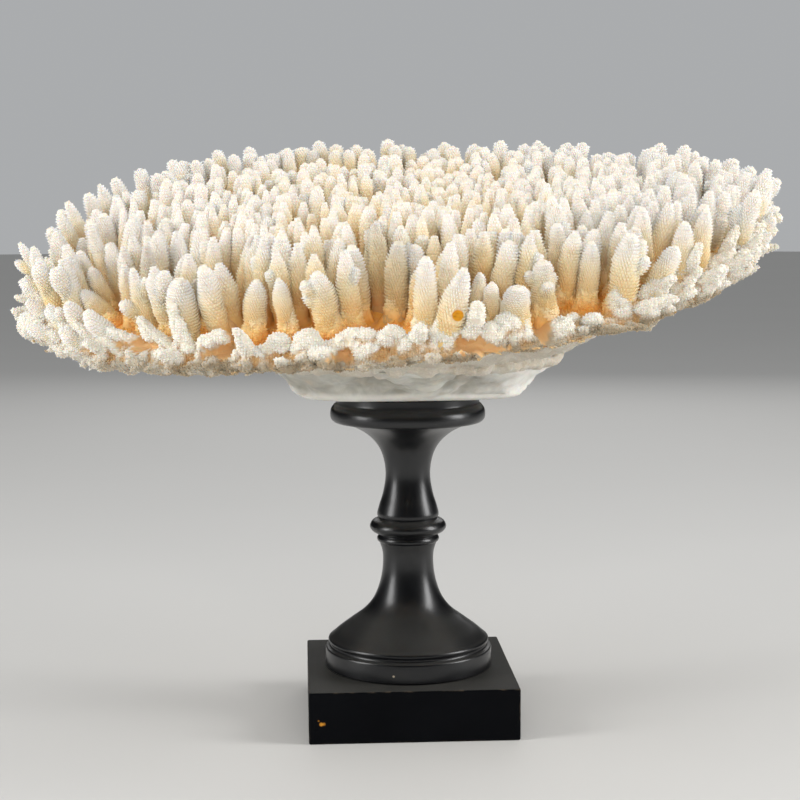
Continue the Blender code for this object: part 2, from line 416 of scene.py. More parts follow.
def rows_of(items, name, width=3, kind=np.float32):
    """What a mesh holds for each of its vertices, edges or faces, one row of numbers for each."""
    flat = np.empty(len(items) * width, kind)
    items.foreach_get(name, flat)
    return flat.reshape(-1, width)


def points_of(piece):
    return rows_of(piece.data.vertices, "co").astype(float)


def normals_of(piece):
    return rows_of(piece.data.vertex_normals, "vector").astype(float)


def face_centres(piece):
    return rows_of(piece.data.polygons, "center").astype(float)


def edges_of(piece):
    return rows_of(piece.data.edges, "vertices", 2, np.int32)


def move_points(piece, points):
    piece.data.vertices.foreach_set("co", points.astype(np.float32).ravel())
    piece.data.update()


def note(piece, name, values):
    """Writes a number on every vertex, for the finish to read."""
    layer = piece.data.attributes.get(name) or piece.data.attributes.new(name, "FLOAT", "POINT")
    layer.data.foreach_set("value", np.broadcast_to(values, len(piece.data.vertices)).astype(np.float32))


def finish_modifier(piece, kind, **settings):
    """Adds a modifier, sets it and applies it."""
    take(piece)
    modifier = piece.modifiers.new(kind.lower(), kind)
    for key, value in settings.items():
        setattr(modifier, key, value)
    bpy.ops.object.modifier_apply(modifier=modifier.name)


def poke(piece, chosen):
    """Adds a vertex in the middle of each chosen face. Gives back how many vertices there were before."""
    take(piece)
    piece.data.polygons.foreach_set("select", chosen)
    before = len(piece.data.vertices)
    bpy.ops.object.mode_set(mode="EDIT")
    bpy.ops.mesh.select_mode(type="FACE")
    bpy.ops.mesh.poke(offset=0.0, use_relative_offset=False, center_mode="MEDIAN")
    bpy.ops.mesh.select_mode(type="VERT")
    bpy.ops.object.mode_set(mode="OBJECT")
    return before


def weather(piece, pattern, size, strength, group=""):
    """Pushes the surface in and out by a cloudy or cellular pattern of this size."""
    texture = bpy.data.textures.new(f"{piece.name}_{pattern.lower()}", pattern)
    texture.noise_scale = size
    finish_modifier(
        piece, "DISPLACE", texture=texture, strength=strength, mid_level=0.5, vertex_group=group,
        texture_coords="LOCAL",
    )


def tidy_shell(piece):
    """Merges doubles and points every face outwards."""
    take(piece)
    edit()
    bpy.ops.mesh.remove_doubles(threshold=1e-6)
    bpy.ops.mesh.normals_make_consistent(inside=False)
    bpy.ops.object.mode_set(mode="OBJECT")


def put_up(piece, finish, slot, *nodes):
    """The last steps for every piece: its material, its body and the CAD nodes it stands for, which it hides.
    The slot is not used.
    """
    piece.data.materials.clear()
    piece.data.materials.append(finish)
    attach(piece, BODY)
    if nodes:
        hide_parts(*nodes)


def put_away(masters):
    """Removes the pieces that others were copied from."""
    for master in masters:
        bpy.data.objects.remove(master, do_unlink=True)


def join(parts, name):
    clear_selection()
    for part in parts:
        part.select_set(True)
    bpy.context.view_layer.objects.active = parts[0]
    bpy.ops.object.join()
    joined = bpy.context.view_layer.objects.active
    joined.name = name
    joined.data.name = name
    return joined


# ---------------------------------------------------------------- stand

# The turned outline in stretches: each is a smooth line through its points (radius, height), in
# millimetres, and two stretches meet in a corner
TURNED = (
    ((0, 30.2), (48.4, 30.2)),
    ((48.4, 30.2), (49.3, 31.0)),
    ((49.3, 31.0), (49.3, 40.6)),
    ((49.3, 40.6), (49.0, 41.6), (48.1, 42.0)),
    ((48.1, 42.0), (46.9, 42.2)),
    ((46.9, 42.2), (46.2, 43.1), (46.4, 44.2)),
    ((46.4, 44.2), (47.5, 45.2), (47.4, 46.6), (46.0, 47.7)),
    ((46.0, 47.7), (41.5, 51.6), (34.0, 57.2), (26.4, 63.0), (21.0, 69.5), (17.6, 77.0), (15.6, 85.0),
     (14.9, 92.5), (15.2, 98.5), (16.9, 104.2)),
    ((16.9, 104.2), (18.0, 105.0), (18.4, 106.4), (17.7, 107.8)),
    ((17.7, 107.8), (17.2, 108.6), (17.9, 109.4)),
    ((17.9, 109.4), (20.9, 110.6), (22.6, 113.4), (21.2, 116.5), (18.6, 117.9)),
    ((18.6, 117.9), (17.5, 118.5), (17.9, 119.3)),
    ((17.9, 119.3), (18.2, 121.2), (17.0, 126.0), (14.7, 133.5), (13.2, 143.0), (13.8, 151.5), (16.3, 159.3),
     (20.8, 165.6), (27.6, 170.9), (35.5, 174.6), (41.2, 176.0)),
    ((41.2, 176.0), (43.6, 176.3)),
    ((43.6, 176.3), (45.1, 177.8), (45.5, 180.4), (45.0, 183.6), (43.3, 186.0)),
    ((43.3, 186.0), (42.2, 186.8), (42.0, 188.4)),
    ((42.0, 188.4), (42.0, 191.2)),
    ((42.0, 191.2), (41.2, 192.0)),
    ((41.2, 192.0), (0, 192.0)),
)
TURNING_STEPS = 144
OUTLINE_STEP = 1.1  # millimetres between points on a curved stretch


def smooth_line(points, spacing):
    """Points along a smooth curve through the given ones. Two points make a straight line."""
    if len(points) == 2:
        return list(points)
    first = 2 * np.array(points[0]) - points[1]
    last = 2 * np.array(points[-1]) - points[-2]
    ends = [first, *map(np.array, points), last]
    line = []
    for before, start, end, after in zip(ends, ends[1:], ends[2:], ends[3:]):
        count = max(2, round(float(np.linalg.norm(end - start)) / spacing))
        for step in range(count):
            t = step / count
            line.append(
                0.5 * (2 * start + (end - before) * t + (2 * before - 5 * start + 4 * end - after) * t**2
                       + (3 * start - 3 * end + after - before) * t**3)
            )
    line.append(ends[-2])
    return line


def turn_pedestal():
    """Spins the turned outline into the pedestal."""
    outline = [TURNED[0][0]]
    for stretch in TURNED:
        outline += smooth_line(stretch, OUTLINE_STEP)[1:]
    clear_selection()
    bpy.ops.mesh.primitive_plane_add(size=0.001, location=(0, 0, 0))
    pedestal = bpy.context.object
    pedestal.name = "turned_pedestal"
    edit()
    bpy.ops.mesh.merge(type="CENTER")
    here = Vector((outline[0][0], 0, outline[0][1])) / 1000
    bpy.ops.transform.translate(value=here)
    for radius, height in outline[1:]:
        there = Vector((float(radius), 0, float(height))) / 1000
        bpy.ops.mesh.extrude_vertices_move(TRANSFORM_OT_translate={"value": there - here})
        here = there
    bpy.ops.mesh.select_all(action="SELECT")
    bpy.ops.mesh.spin(steps=TURNING_STEPS, angle=tau, center=(0, 0, 0), axis=(0, 0, 1))
    bpy.ops.object.mode_set(mode="OBJECT")
    tidy_shell(pedestal)
    bpy.ops.object.shade_smooth_by_angle(angle=radians(38))
    put_up(pedestal, pedestal_finish(), "pedestal_wood", "pedestal")


def saw_plinth():
    """The base block: eased edges, faint hollows and one small chip."""
    low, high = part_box("plinth")
    clear_selection()
    bpy.ops.mesh.primitive_cube_add(size=1, location=(low + high) / 2)
    plinth = bpy.context.object
    plinth.name = "square_plinth"
    bpy.ops.transform.resize(value=high - low)
    bpy.ops.object.transform_apply(location=True, rotation=True, scale=True)
    edit()
    bpy.ops.mesh.subdivide(number_cuts=7)
    bpy.ops.object.mode_set(mode="OBJECT")
    finish_modifier(plinth, "BEVEL", width=EASED_EDGE, segments=4, limit_method="ANGLE")
    edit()
    bpy.ops.mesh.subdivide(number_cuts=3)
    bpy.ops.object.mode_set(mode="OBJECT")
    weather(plinth, "CLOUDS", 0.03, 0.00025)
    points = points_of(plinth)
    points[:, 2] = np.maximum(points[:, 2], low.z)
    move_points(plinth, points)
    take(plinth)
    bpy.ops.object.shade_smooth_by_angle(angle=radians(40))
    put_up(plinth, plinth_finish(high.x - low.x, high.z - low.z), "plinth_wood", "plinth")


# ---------------------------------------------------------------- the plate as packed


def tree_of(node):
    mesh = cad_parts[node].data
    return BVHTree.FromPolygons([v.co for v in mesh.vertices], [p.vertices for p in mesh.polygons])


plate_trees = {node: tree_of(node) for node in ["coral_foot", *(f"limb_{place}" for place in PLACES)]}


def drop(x, y):
    """Where a line dropped onto the coral lands: the point and the node's name, or None past the rim."""
    best = None
    for node, tree in plate_trees.items():
        hit = tree.ray_cast(Vector((x, y, 0.5)), -UP)[0]
        if hit and (best is None or hit.z > best[0].z):
            best = (hit, node)
    return best


def drop_at(angle, radius):
    """The same, for a place given by its direction and its distance from the axis."""
    return drop(radius * cos(angle), radius * sin(angle))


def find_rim(angle):
    """The plate's radius in one direction."""
    near = 0.10
    far = 0.26
    for _ in range(14):
        middle = (near + far) / 2
        if drop_at(angle, middle):
            near = middle
        else:
            far = middle
    return near


# Directions half a step off the round ones, so that none of them runs along a slit between two limbs
RIM_ANGLES = [tau * (step + 0.5) / 240 for step in range(240)]
rim_table = np.array([find_rim(angle) for angle in RIM_ANGLES])
RIM_LENGTH = float(rim_table.mean()) * tau
TOP_SHARES = np.linspace(0, 0.98, 22)  # of the way to the rim


def measure_top():
    """The height of the plate's upper side on a grid of directions and shares of the way to the rim."""
    rows = []
    for angle, rim in zip(RIM_ANGLES, rim_table):
        rows.append([drop_at(angle, rim * share)[0].z for share in TOP_SHARES])
    return np.array(rows)


top_table = measure_top()


def rim_radius(angle):
    """The plate's radius, read from the measured rim. The angle may be an array."""
    return np.interp(angle, RIM_ANGLES, rim_table, period=tau)


def share_out(points):
    """How far each point is on the way from the axis to the rim, where 1 is the rim."""
    return np.hypot(points[:, 0], points[:, 1]) / rim_radius(np.arctan2(points[:, 1], points[:, 0]))


def inward_of(points):
    """The level direction from each point towards the axis."""
    return -points * (1, 1, 0) / np.hypot(points[:, 0], points[:, 1])[:, None]


def height_over_plate(points):
    """How high each point stands over the plate's upper side, read from the measured grid."""
    across = np.mod(np.arctan2(points[:, 1], points[:, 0]) / tau * len(rim_table) - 0.5, len(rim_table))
    along = np.clip(share_out(points) / TOP_SHARES[1], 0, len(TOP_SHARES) - 1.001)
    a = across.astype(int) % len(rim_table)
    b = along.astype(int)
    beside = (a + 1) % len(rim_table)
    s = across - np.floor(across)
    t = along - b
    inner = top_table[a, b] * (1 - s) + top_table[beside, b] * s
    outer = top_table[a, b + 1] * (1 - s) + top_table[beside, b + 1] * s
    return points[:, 2] - (inner * (1 - t) + outer * t)


def around(count, jitter, chance):
    """Directions spread evenly round the plate, each a little off its place."""
    for step in range(count):
        yield tau * (step + chance.uniform(-jitter, jitter)) / count


def thicket_of(node):
    return "centre" if node == "coral_foot" else node.removeprefix("limb_")


# ---------------------------------------------------------------- branchlets


def body_radius(height, length, girth, nose, tip, waist, blunt, spread):
    """A branchlet's outline: a spread root, a waist, its fullest part and a rounded point."""
    below_tip = length - height
    point = sin(pi / 2 * min(1.0, max(0.0, below_tip) / nose)) ** blunt
    thinning = 1 - (1 - waist) * max(0.0, below_tip - nose) / max(0.001, length - nose)
    flare = spread * exp(-max(0.0, height + 0.001) / FLARE_HEIGHT)
    return tip + (girth / 2 - tip) * point * thinning + flare


def in_order(points, heights):
    """The numbers of a finger's points from the root up and round each row, which no two runs change."""
    rows = np.searchsorted(heights, points[:, 2] - ROW_SLACK)
    turn = np.mod(np.arctan2(points[:, 1], points[:, 0]) + TURN_SLACK, tau)
    return np.lexsort((turn, rows))


def grow_finger(
    name, length=LENGTH, girth=GIRTH, nose=0.014, tip=0.0015, waist=0.86, blunt=0.75, bend=0.0, columns=14,
    cups_from=0.004, pale=0.0, relief=CUP_RELIEF, pitch=CUP_PITCH, spread=0.0022,
):
    """One branchlet standing on the origin, with cups in staggered rows above a plain root."""
    outline = dict(length=length, girth=girth, nose=nose, tip=tip, waist=waist, blunt=blunt, spread=spread)
    plain_rows = max(2, round((cups_from + ROOT) / PLAIN_ROW))
    heights = [-ROOT + (cups_from + ROOT) * row / plain_rows for row in range(plain_rows + 1)]
    cup_rows = round((length - cups_from) / pitch)
    heights += [cups_from + (length - cups_from) * row / cup_rows for row in range(1, cup_rows + 1)]
    clear_selection()
    radius = body_radius(-ROOT, **outline)
    bpy.ops.mesh.primitive_circle_add(
        vertices=columns, radius=radius, fill_type="NGON", location=(0, 0, -ROOT)
    )
    finger = bpy.context.object
    finger.name = name
    bpy.ops.object.transform_apply(location=True, rotation=True, scale=True)
    bpy.ops.object.mode_set(mode="EDIT")
    bpy.ops.mesh.select_mode(type="FACE")
    bpy.ops.mesh.select_all(action="SELECT")
    for below, above in zip(heights, heights[1:]):
        bpy.ops.mesh.extrude_region_move(TRANSFORM_OT_translate={"value": (0, 0, above - below)})
        wider = body_radius(above, **outline)
        bpy.ops.transform.resize(value=(wider / radius, wider / radius, 1))
        if above > cups_from:
            bpy.ops.transform.rotate(value=pi / columns, orient_axis="Z", center_override=(0, 0, 0))
        radius = wider
    bpy.ops.mesh.inset(thickness=tip * 0.45, depth=-tip * 0.35)
    bpy.ops.mesh.select_all(action="SELECT")
    bpy.ops.mesh.normals_make_consistent(inside=False)
    bpy.ops.mesh.select_all(action="DESELECT")
    bpy.ops.object.mode_set(mode="OBJECT")
    level = face_centres(finger)[:, 2]
    facing_up = rows_of(finger.data.polygons, "normal")[:, 2].astype(float)
    stems = poke(finger, (level > cups_from) & (level < length - tip * 0.6) & (facing_up < FLAT_TOP))
    points = points_of(finger)
    order = in_order(points, heights)
    cups = points[stems:]
    from_axis = np.hypot(cups[:, 0], cups[:, 1])
    draw = np.random.default_rng(len(name) * 31 + columns)
    start = np.clip((cups[:, 2] - cups_from) / (3 * pitch), 0.15, 1.0)
    near_tip = np.clip(from_axis / (girth * 0.42), 0.35, 1.0)
    stand_out = relief * near_tip * start
    stand_out[order[order >= stems] - stems] *= draw.uniform(0.75, 1.2, len(cups))
    cups[:, :2] *= (1 + stand_out / from_axis)[:, None]
    cups[:, 2] += stand_out * CUP_UPTURN
    scatter = np.empty_like(points)
    scatter[order] = draw.uniform(-CUP_SCATTER, CUP_SCATTER, points.shape)
    move_points(finger, points + scatter * (points[:, 2:] > cups_from))
    cup = np.zeros(len(points))
    cup[stems:] = 1.0
    note(finger, "cup", cup)
    # The reach also sets the painted shade down between the branchlets; pale gives a branchlet less of it.
    note(finger, "reach", pale + (1 - pale) * np.clip(points[:, 2] / (length if pale else LENGTH), 0, 1))
    note(finger, "tone", 0.5)
    note(finger, "dirt", 0.0)
    if bend:
        finish_modifier(finger, "SIMPLE_DEFORM", deform_method="BEND", deform_axis="X", angle=radians(bend))
    weather(finger, "CLOUDS", 0.010, girth * 0.15)
    take(finger)
    bpy.ops.object.shade_flat()
    return finger


def copy_finger(finger, placement, tone=None, dirt=None):
    """A copy with its own mesh, put in place in that mesh."""
    mesh = finger.data.copy()
    mesh.transform(placement)
    piece = bpy.data.objects.new(finger.name, mesh)
    bpy.context.scene.collection.objects.link(piece)
    if tone is not None:
        note(piece, "tone", tone)
    if dirt:
        note(piece, "dirt", dirt)
    return piece


def with_buds(name, stem, *buds):
    """A branchlet with side buds. Each bud is (height, angle round the stem, lean, finger)."""
    parts = [copy_finger(stem, Matrix.Identity(4))]
    for height, angle, tilt, bud in buds:
        aim = Matrix.Rotation(angle, 4, "Z") @ Matrix.Rotation(tilt, 4, "Y")
        parts.append(copy_finger(bud, Matrix.Translation((0, 0, height)) @ aim))
    return join(parts, name)


# Name, length, girth, nose, tip, waist, bluntness, bend in degrees, share of the thicket
POINTED = (
    ("cone", 1.00, 1.08, 0.020, 0.0014, 0.90, 0.98, 4, 10),
    ("spindle", 0.98, 1.14, 0.019, 0.0013, 0.80, 0.94, -6, 9),
    ("column", 1.02, 1.00, 0.014, 0.0016, 0.95, 0.80, 5, 8),
    ("leaner", 0.97, 1.02, 0.018, 0.0015, 0.90, 0.92, 13, 8),
    ("stout", 0.95, 1.24, 0.020, 0.0018, 0.90, 0.90, -5, 7),
    ("slim", 1.00, 0.90, 0.017, 0.0013, 0.92, 0.90, 9, 8),
    ("curved", 0.98, 0.98, 0.018, 0.0014, 0.90, 0.94, -15, 8),
    ("short", 0.88, 1.06, 0.018, 0.0014, 0.90, 0.92, 7, 4),
)
ROUND = (
    ("thumb", 1.00, 1.02, 0.009, 0.0016, 0.97, 0.50, 4, 10),
    ("club", 0.98, 1.10, 0.008, 0.0017, 0.88, 0.50, -5, 8),
    ("peg", 1.01, 0.92, 0.008, 0.0015, 1.00, 0.55, 8, 9),
    ("elbow", 0.98, 0.96, 0.010, 0.0016, 0.92, 0.55, -13, 7),
    ("lanky", 1.02, 0.86, 0.009, 0.0015, 0.96, 0.55, -7, 6),
)


def grow_kinds(shapes, suffix, thickness, branched, bud, twig, **detail):
    """The branchlets of one belt of the plate, each with its share of them."""
    kinds = []
    for name, tall, wide, nose, tip, waist, blunt, bend, share in shapes:
        finger = grow_finger(
            f"{name}_{suffix}", LENGTH * tall, thickness * wide, nose, tip, waist, blunt, bend, **detail
        )
        kinds.append((finger, share))
    first, second, third = (finger for finger, _ in kinds[:3])
    kinds.append((with_buds(f"budded_{suffix}", first, (0.022, 0.4, 0.50, bud)), branched))
    kinds.append((with_buds(f"forked_{suffix}", second, (0.017, 2.9, 0.34, twig)), branched))
    kinds.append((with_buds(f"twinned_{suffix}", third, (0.012, 0.9, 0.26, twig)), branched))
    return kinds


def grow_rim_kinds(bud):
    """The short branchlets that fan out past the rim."""
    rim = dict(columns=16, cups_from=0.002, pale=0.55)
    stub = grow_finger("stub", 0.021, 0.0084, 0.012, 0.0014, 0.92, 0.8, 6, **rim)
    stick = grow_finger("stick", 0.026, 0.0078, 0.013, 0.0012, 0.90, 0.8, -9, **rim)
    spur = with_buds("spur", stub, (0.008, 0.6, 0.75, bud), (0.010, 3.6, 0.65, bud))
    fork = with_buds("fork", stick, (0.010, 1.9, 0.6, bud), (0.013, 4.9, 0.55, bud))
    return {"stub": stub, "stick": stick, "spur": spur, "fork": fork}


def lean_of(angle, out):
    """How far a branchlet leans outward, in radians."""
    return (0.42 - 0.16 * sin(angle)) * max(0.0, (out - RIM_START) / (1 - RIM_START))


def stand_on(point, direction, twist, size):
    """The placement that stands a finger on a point of the plate."""
    aim = UP.rotation_difference(direction).to_matrix().to_4x4()
    return Matrix.Translation(point) @ aim @ Matrix.Rotation(twist, 4, "Z") @ Matrix.Diagonal((*size, 1))


# Branchlets that stand out at the front and at both ends, listed one by one. Each: its kind, where its root
# stands (x, y), how far its tip is to the right of that, in front of it and above it, its girth, all in
# millimetres, its turn in degrees, its tone and its dirt
SET_BY_HAND = (
    ("bullet", -164, -62, -17, 3, 18, 9.5, 0, 0.6, 0.0),
    ("bullet", -166, -44, -11, 2, 26, 8.5, 40, 0.6, 0.0),
    ("slender", -176, -27, -8, 0, 33, 9.0, 90, 0.7, 0.0),
    ("slender", -152, -74, -4, 2, 33, 7.5, 20, 0.6, 0.0),
    ("yoke", -141, -100, -8, 6, 36, 9.5, 180, 0.7, 0.3),
    ("pinecone", -124, -96, -1, 2, 36, 9.0, 60, 0.6, 0.0),
    ("stocky", -120, -128, -3, 8, 35, 12.5, 0, 0.9, 0.1),
    ("star", -107, -110, -4, 6, 31, 9.5, 0, 0.4, 0.7),
    ("bullet", -86, -136, 2, 4, 29, 10.0, 10, 0.6, 0.0),
    ("slender", -68, -145, -4, 5, 30, 8.0, 70, 0.5, 0.0),
    ("budded", -47, -152, -7, 5, 32, 11.5, 160, 0.7, 0.0),
    ("bullet", -34, -137, -2, 5, 38, 12.0, 30, 0.7, 0.0),
    ("stocky", -15, -143, 1, 3, 40, 10.0, 50, 0.4, 0.6),
    ("bullet", -2, -170, 0, 5, 39, 10.0, 0, 1.0, 0.0),
    ("pinecone", 6, -179, 10, 5, 37, 12.0, 0, 1.0, 0.0),
    ("slender", 23, -164, 2, 3, 27, 6.5, 0, 0.5, 0.2),
    ("slender", 31, -169, 1, 4, 23, 7.5, 90, 0.4, 0.3),
    ("stocky", 41, -174, 0, 6, 23, 12.0, 40, 0.9, 0.0),
    ("twin", 43, -142, -3, 5, 40, 10.0, 0, 0.6, 0.0),
    ("star", 58, -162, -3, 5, 29, 10.0, 20, 0.5, 0.5),
    ("bullet", 70, -128, -1, 3, 37, 9.5, 60, 0.6, 0.0),
    ("bullet", 88, -126, -7, 3, 34, 9.0, 0, 0.6, 0.2),
    ("slender", 80, -150, 3, 4, 33, 8.5, 30, 0.7, 0.0),
    ("budded", 96, -157, 4, 7, 38, 12.0, 0, 1.0, 0.0),
    ("bent", 109, -153, 15, 8, 27, 10.0, 0, 0.9, 0.0),
    ("slender", 112, -130, 0, 4, 42, 9.0, 10, 0.7, 0.0),
    ("bullet", 128, -138, 4, 5, 35, 9.5, 10, 0.8, 0.0),
    ("slender", 141, -121, 6, 5, 36, 9.0, 10, 0.8, 0.0),
    ("antler", -200, -8, -22, 0, 37, 7.0, 0, 0.9, 0.0),
    ("slender", -200, -19, -13, 0, 38, 8.0, 0, 0.8, 0.0),
    ("twiglet", -195, -27, -20, 0, 9, 7.0, 0, 0.9, 0.0),
    ("bullet", -194, 13, -6, 0, 27, 8.0, 0, 0.8, 0.0),
    ("bullet", -184, -12, -8, 2, 27, 9.0, 0, 0.8, 0.0),
    ("stocky", -193, 27, -16, 0, 33, 9.0, 0, 0.8, 0.0),
    ("bullet", -189, 40, -16, 0, 37, 9.0, 30, 0.8, 0.0),
    ("bullet", -184, 52, -18, 0, 39, 8.5, 0, 0.8, 0.0),
    ("stocky", -176, 64, -16, 0, 40, 9.5, 60, 0.8, 0.0),
    ("bullet", -168, 77, -18, 0, 41, 9.0, 0, 0.8, 0.0),
    ("stocky", -160, 90, -18, 0, 39, 9.0, 90, 0.8, 0.0),
    ("stocky", 188, -33, 15, 3, 31, 11.0, 0, 0.9, 0.0),
    ("bullet", 184, -12, 20, 2, 29, 10.0, 0, 0.9, 0.0),
    ("twiglet", 192, -6, 25, 2, 9, 8.0, 0, 0.9, 0.0),
    ("stocky", 188, 10, 34, -2, 24, 10.5, 0, 0.9, 0.0),
    ("bullet", 186, 25, 33, 0, 26, 10.0, 0, 0.9, 0.0),
    ("stocky", 183, 40, 31, 0, 29, 11.0, 50, 0.9, 0.0),
    ("stocky", 178, 56, 29, 0, 33, 11.5, 0, 0.9, 0.0),
    ("twiglet", 190, -24, 16, 3, 3, 6.5, 0, 0.9, 0.0),
    ("bullet", 184, -62, 14, 4, 14, 9.0, 0, 0.9, 0.0),
    ("slender", 176, -79, 14, 4, 3, 7.0, 0, 0.9, 0.0),
    ("slender", 156, -110, 17, 4, 3, 6.0, 0, 0.9, 0.0),
    ("bullet", 147, -120, 13, 5, -2, 7.5, 0, 0.9, 0.0),
)
# The shapes of their stems: name, nose, tip, waist, bluntness and bend in degrees
HAND_SHAPES = (
    ("bullet", 0.019, 0.0016, 0.96, 0.86, 3),
    ("pinecone", 0.025, 0.0014, 0.88, 0.94, -6),
    ("slender", 0.018, 0.0015, 0.98, 0.84, 8),
    ("stocky", 0.017, 0.0020, 1.02, 0.74, -3),
    ("bent", 0.018, 0.0015, 0.96, 0.80, 24),
)
HAND_LENGTH = 0.036
HAND_GIRTH = 0.010
FRONT_START = radians(200)  # from here to FRONT_END the row at the rim is listed one by one
FRONT_END = radians(314)
FRONT_ROW = 0.87  # where it starts, as a share of the way to the rim
LAST_ROW = 0.955  # and no branchlet of the grid stands further out than this
HAND_CLEAR = 0.0095  # no other branchlet stands nearer to one of the listed ones
RIM_CLEAR = 0.011  # and no branchlet of the rim


def grow_hand_kinds():
    """The finely cupped branchlets of the front row."""
    fine = dict(columns=25, cups_from=0.003, pale=0.22, pitch=0.00155, relief=0.00135)
    kinds = {name: grow_finger(name, HAND_LENGTH, HAND_GIRTH, *shape, **fine) for name, *shape in HAND_SHAPES}
    fine |= dict(columns=18)
    shoot = grow_finger("shoot", 0.015, 0.0068, 0.010, 0.0013, 0.95, 0.80, spread=0, **fine)
    arm = grow_finger("arm", 0.024, 0.0080, 0.013, 0.0014, 0.95, 0.80, 6, spread=0, **fine)
    twiglet = grow_finger("twiglet", 0.018, HAND_GIRTH, 0.012, 0.0014, 0.90, 0.90, 6, **fine)
    branched = {
        "antler": ("slender", (0.020, 3.1, 0.95, shoot), (0.011, 3.4, 1.15, shoot)),
        "yoke": ("pinecone", (0.010, 0.2, 0.80, shoot), (0.016, 3.0, 0.42, shoot)),
        "budded": ("bullet", (0.013, 0.1, 0.55, shoot), (0.019, 0.5, 0.50, shoot)),
        "twin": ("slender", (0.012, 0.1, 0.24, arm)),
        "star": ("stocky", (0.014, 0.3, 0.55, shoot), (0.017, 2.7, 0.50, shoot), (0.012, 4.6, 0.6, shoot)),
    }
    for name, (stem, *buds) in branched.items():
        kinds[name] = with_buds(name, kinds[stem], *buds)
    return kinds | {"shoot": shoot, "arm": arm, "twiglet": twiglet}


EYE = (0.0125, -0.1870, 0.2500)
EYE_RADIUS = 0.0031
EYE_DEPTH = 0.0009  # how far behind EYE its floor lies
FLECK = (-0.1205, -0.137, 0.2490)
FLECK_RADIUS = 0.0012
GAPS = ((-0.012, 0.046, 0.010),)  # x, y and radius of hollows where no branchlet stands
DIRTY = ((0.052, -0.075, 0.016), (-0.140, -0.085, 0.014), (-0.020, -0.120, 0.012))


class Bed:
    """What is planted: the branchlets of each thicket, and each one's root for the limbs to rise to."""

    def __init__(self):
        self.thickets = {place: [] for place in ("centre", *PLACES)}
        self.roots = []

    def plant(self, finger, found, direction, twist, size, girth, tone, dirt=None):
        point, node = found
        place = thicket_of(node)
        placement = stand_on(point, direction, twist, size)
        self.thickets[place].append(copy_finger(finger, placement, tone, dirt))
        self.roots.append((place, point.copy(), direction.copy(), girth))


def plant_by_hand(bed):
    """Plants the rows of SET_BY_HAND."""
    kinds = grow_hand_kinds()
    for name, x, y, right, front, above, girth, turn, tone, dirt in SET_BY_HAND:
        found = drop(x / 1000, y / 1000)
        stretch = Vector((right, -front, above)) / 1000
        wide = girth / 1000 / HAND_GIRTH
        size = (wide, wide, stretch.length / float(points_of(kinds[name])[:, 2].max()))
        bed.plant(kinds[name], found, stretch.normalized(), radians(turn), size, girth / 1000, tone, dirt)
    put_away(kinds.values())


def press_eye(thicket):
    """Presses in the boring that a creature left in one branchlet of the front row."""
    points = points_of(thicket)
    away = points - EYE
    bored = (np.hypot(away[:, 0], away[:, 2]) < EYE_RADIUS) & (abs(away[:, 1]) < 0.005)
    points[bored, 1] = EYE[1] + EYE_DEPTH
    move_points(thicket, points)


def near_hand_set(x, y, clearance):
    """Whether a listed branchlet stands nearer than this."""
    return any((x - hx / 1000) ** 2 + (y - hy / 1000) ** 2 < clearance**2 for _, hx, hy, *_ in SET_BY_HAND)


def left_bare(x, y, angle, out):
    """Whether no branchlet of the grid stands here."""
    front = FRONT_START < angle % tau < FRONT_END and out > FRONT_ROW
    hollow = any((x - gx) ** 2 + (y - gy) ** 2 < r * r for gx, gy, r in GAPS)
    return out > LAST_ROW or front or hollow or near_hand_set(x, y, HAND_CLEAR)


def over_the_edge(point):
    """Whether a dropped line landed below the plate's upper side, on the flank of a limb."""
    return height_over_plate(np.array([point]))[0] < -0.004


PLATE_REACH = 0.24  # the plate's rim is nowhere further out
ROW_STEP = 0.866  # between two rows of the grid, as a share of SPACING
GRID_JITTER = 0.0018
TILT_JITTER = 0.055
SHORT_SHARE = 0.07  # of the branchlets, which have broken off short
OUTER_FRONT = 0.66  # where the outer belt starts at the front, as a share of the way to the rim
OUTER_BACK = 0.80


def round_share(y):
    """The share of round-tipped branchlets here: none at the front, more and more towards the back."""
    return 0.9 * (y + 0.02) / 0.11


def painted_light_at_ends(x):
    """How much paler the branchlets are painted here, as painted light from the lamps at the sides: more
    towards the plate's two ends, less in its middle.
    """
    right = min(1.0, max(0.0, (x - 0.04) / 0.12))
    left = min(1.0, max(0.0, (-x - 0.06) / 0.08))
    return 1.3 * right + 0.8 * left - 0.1


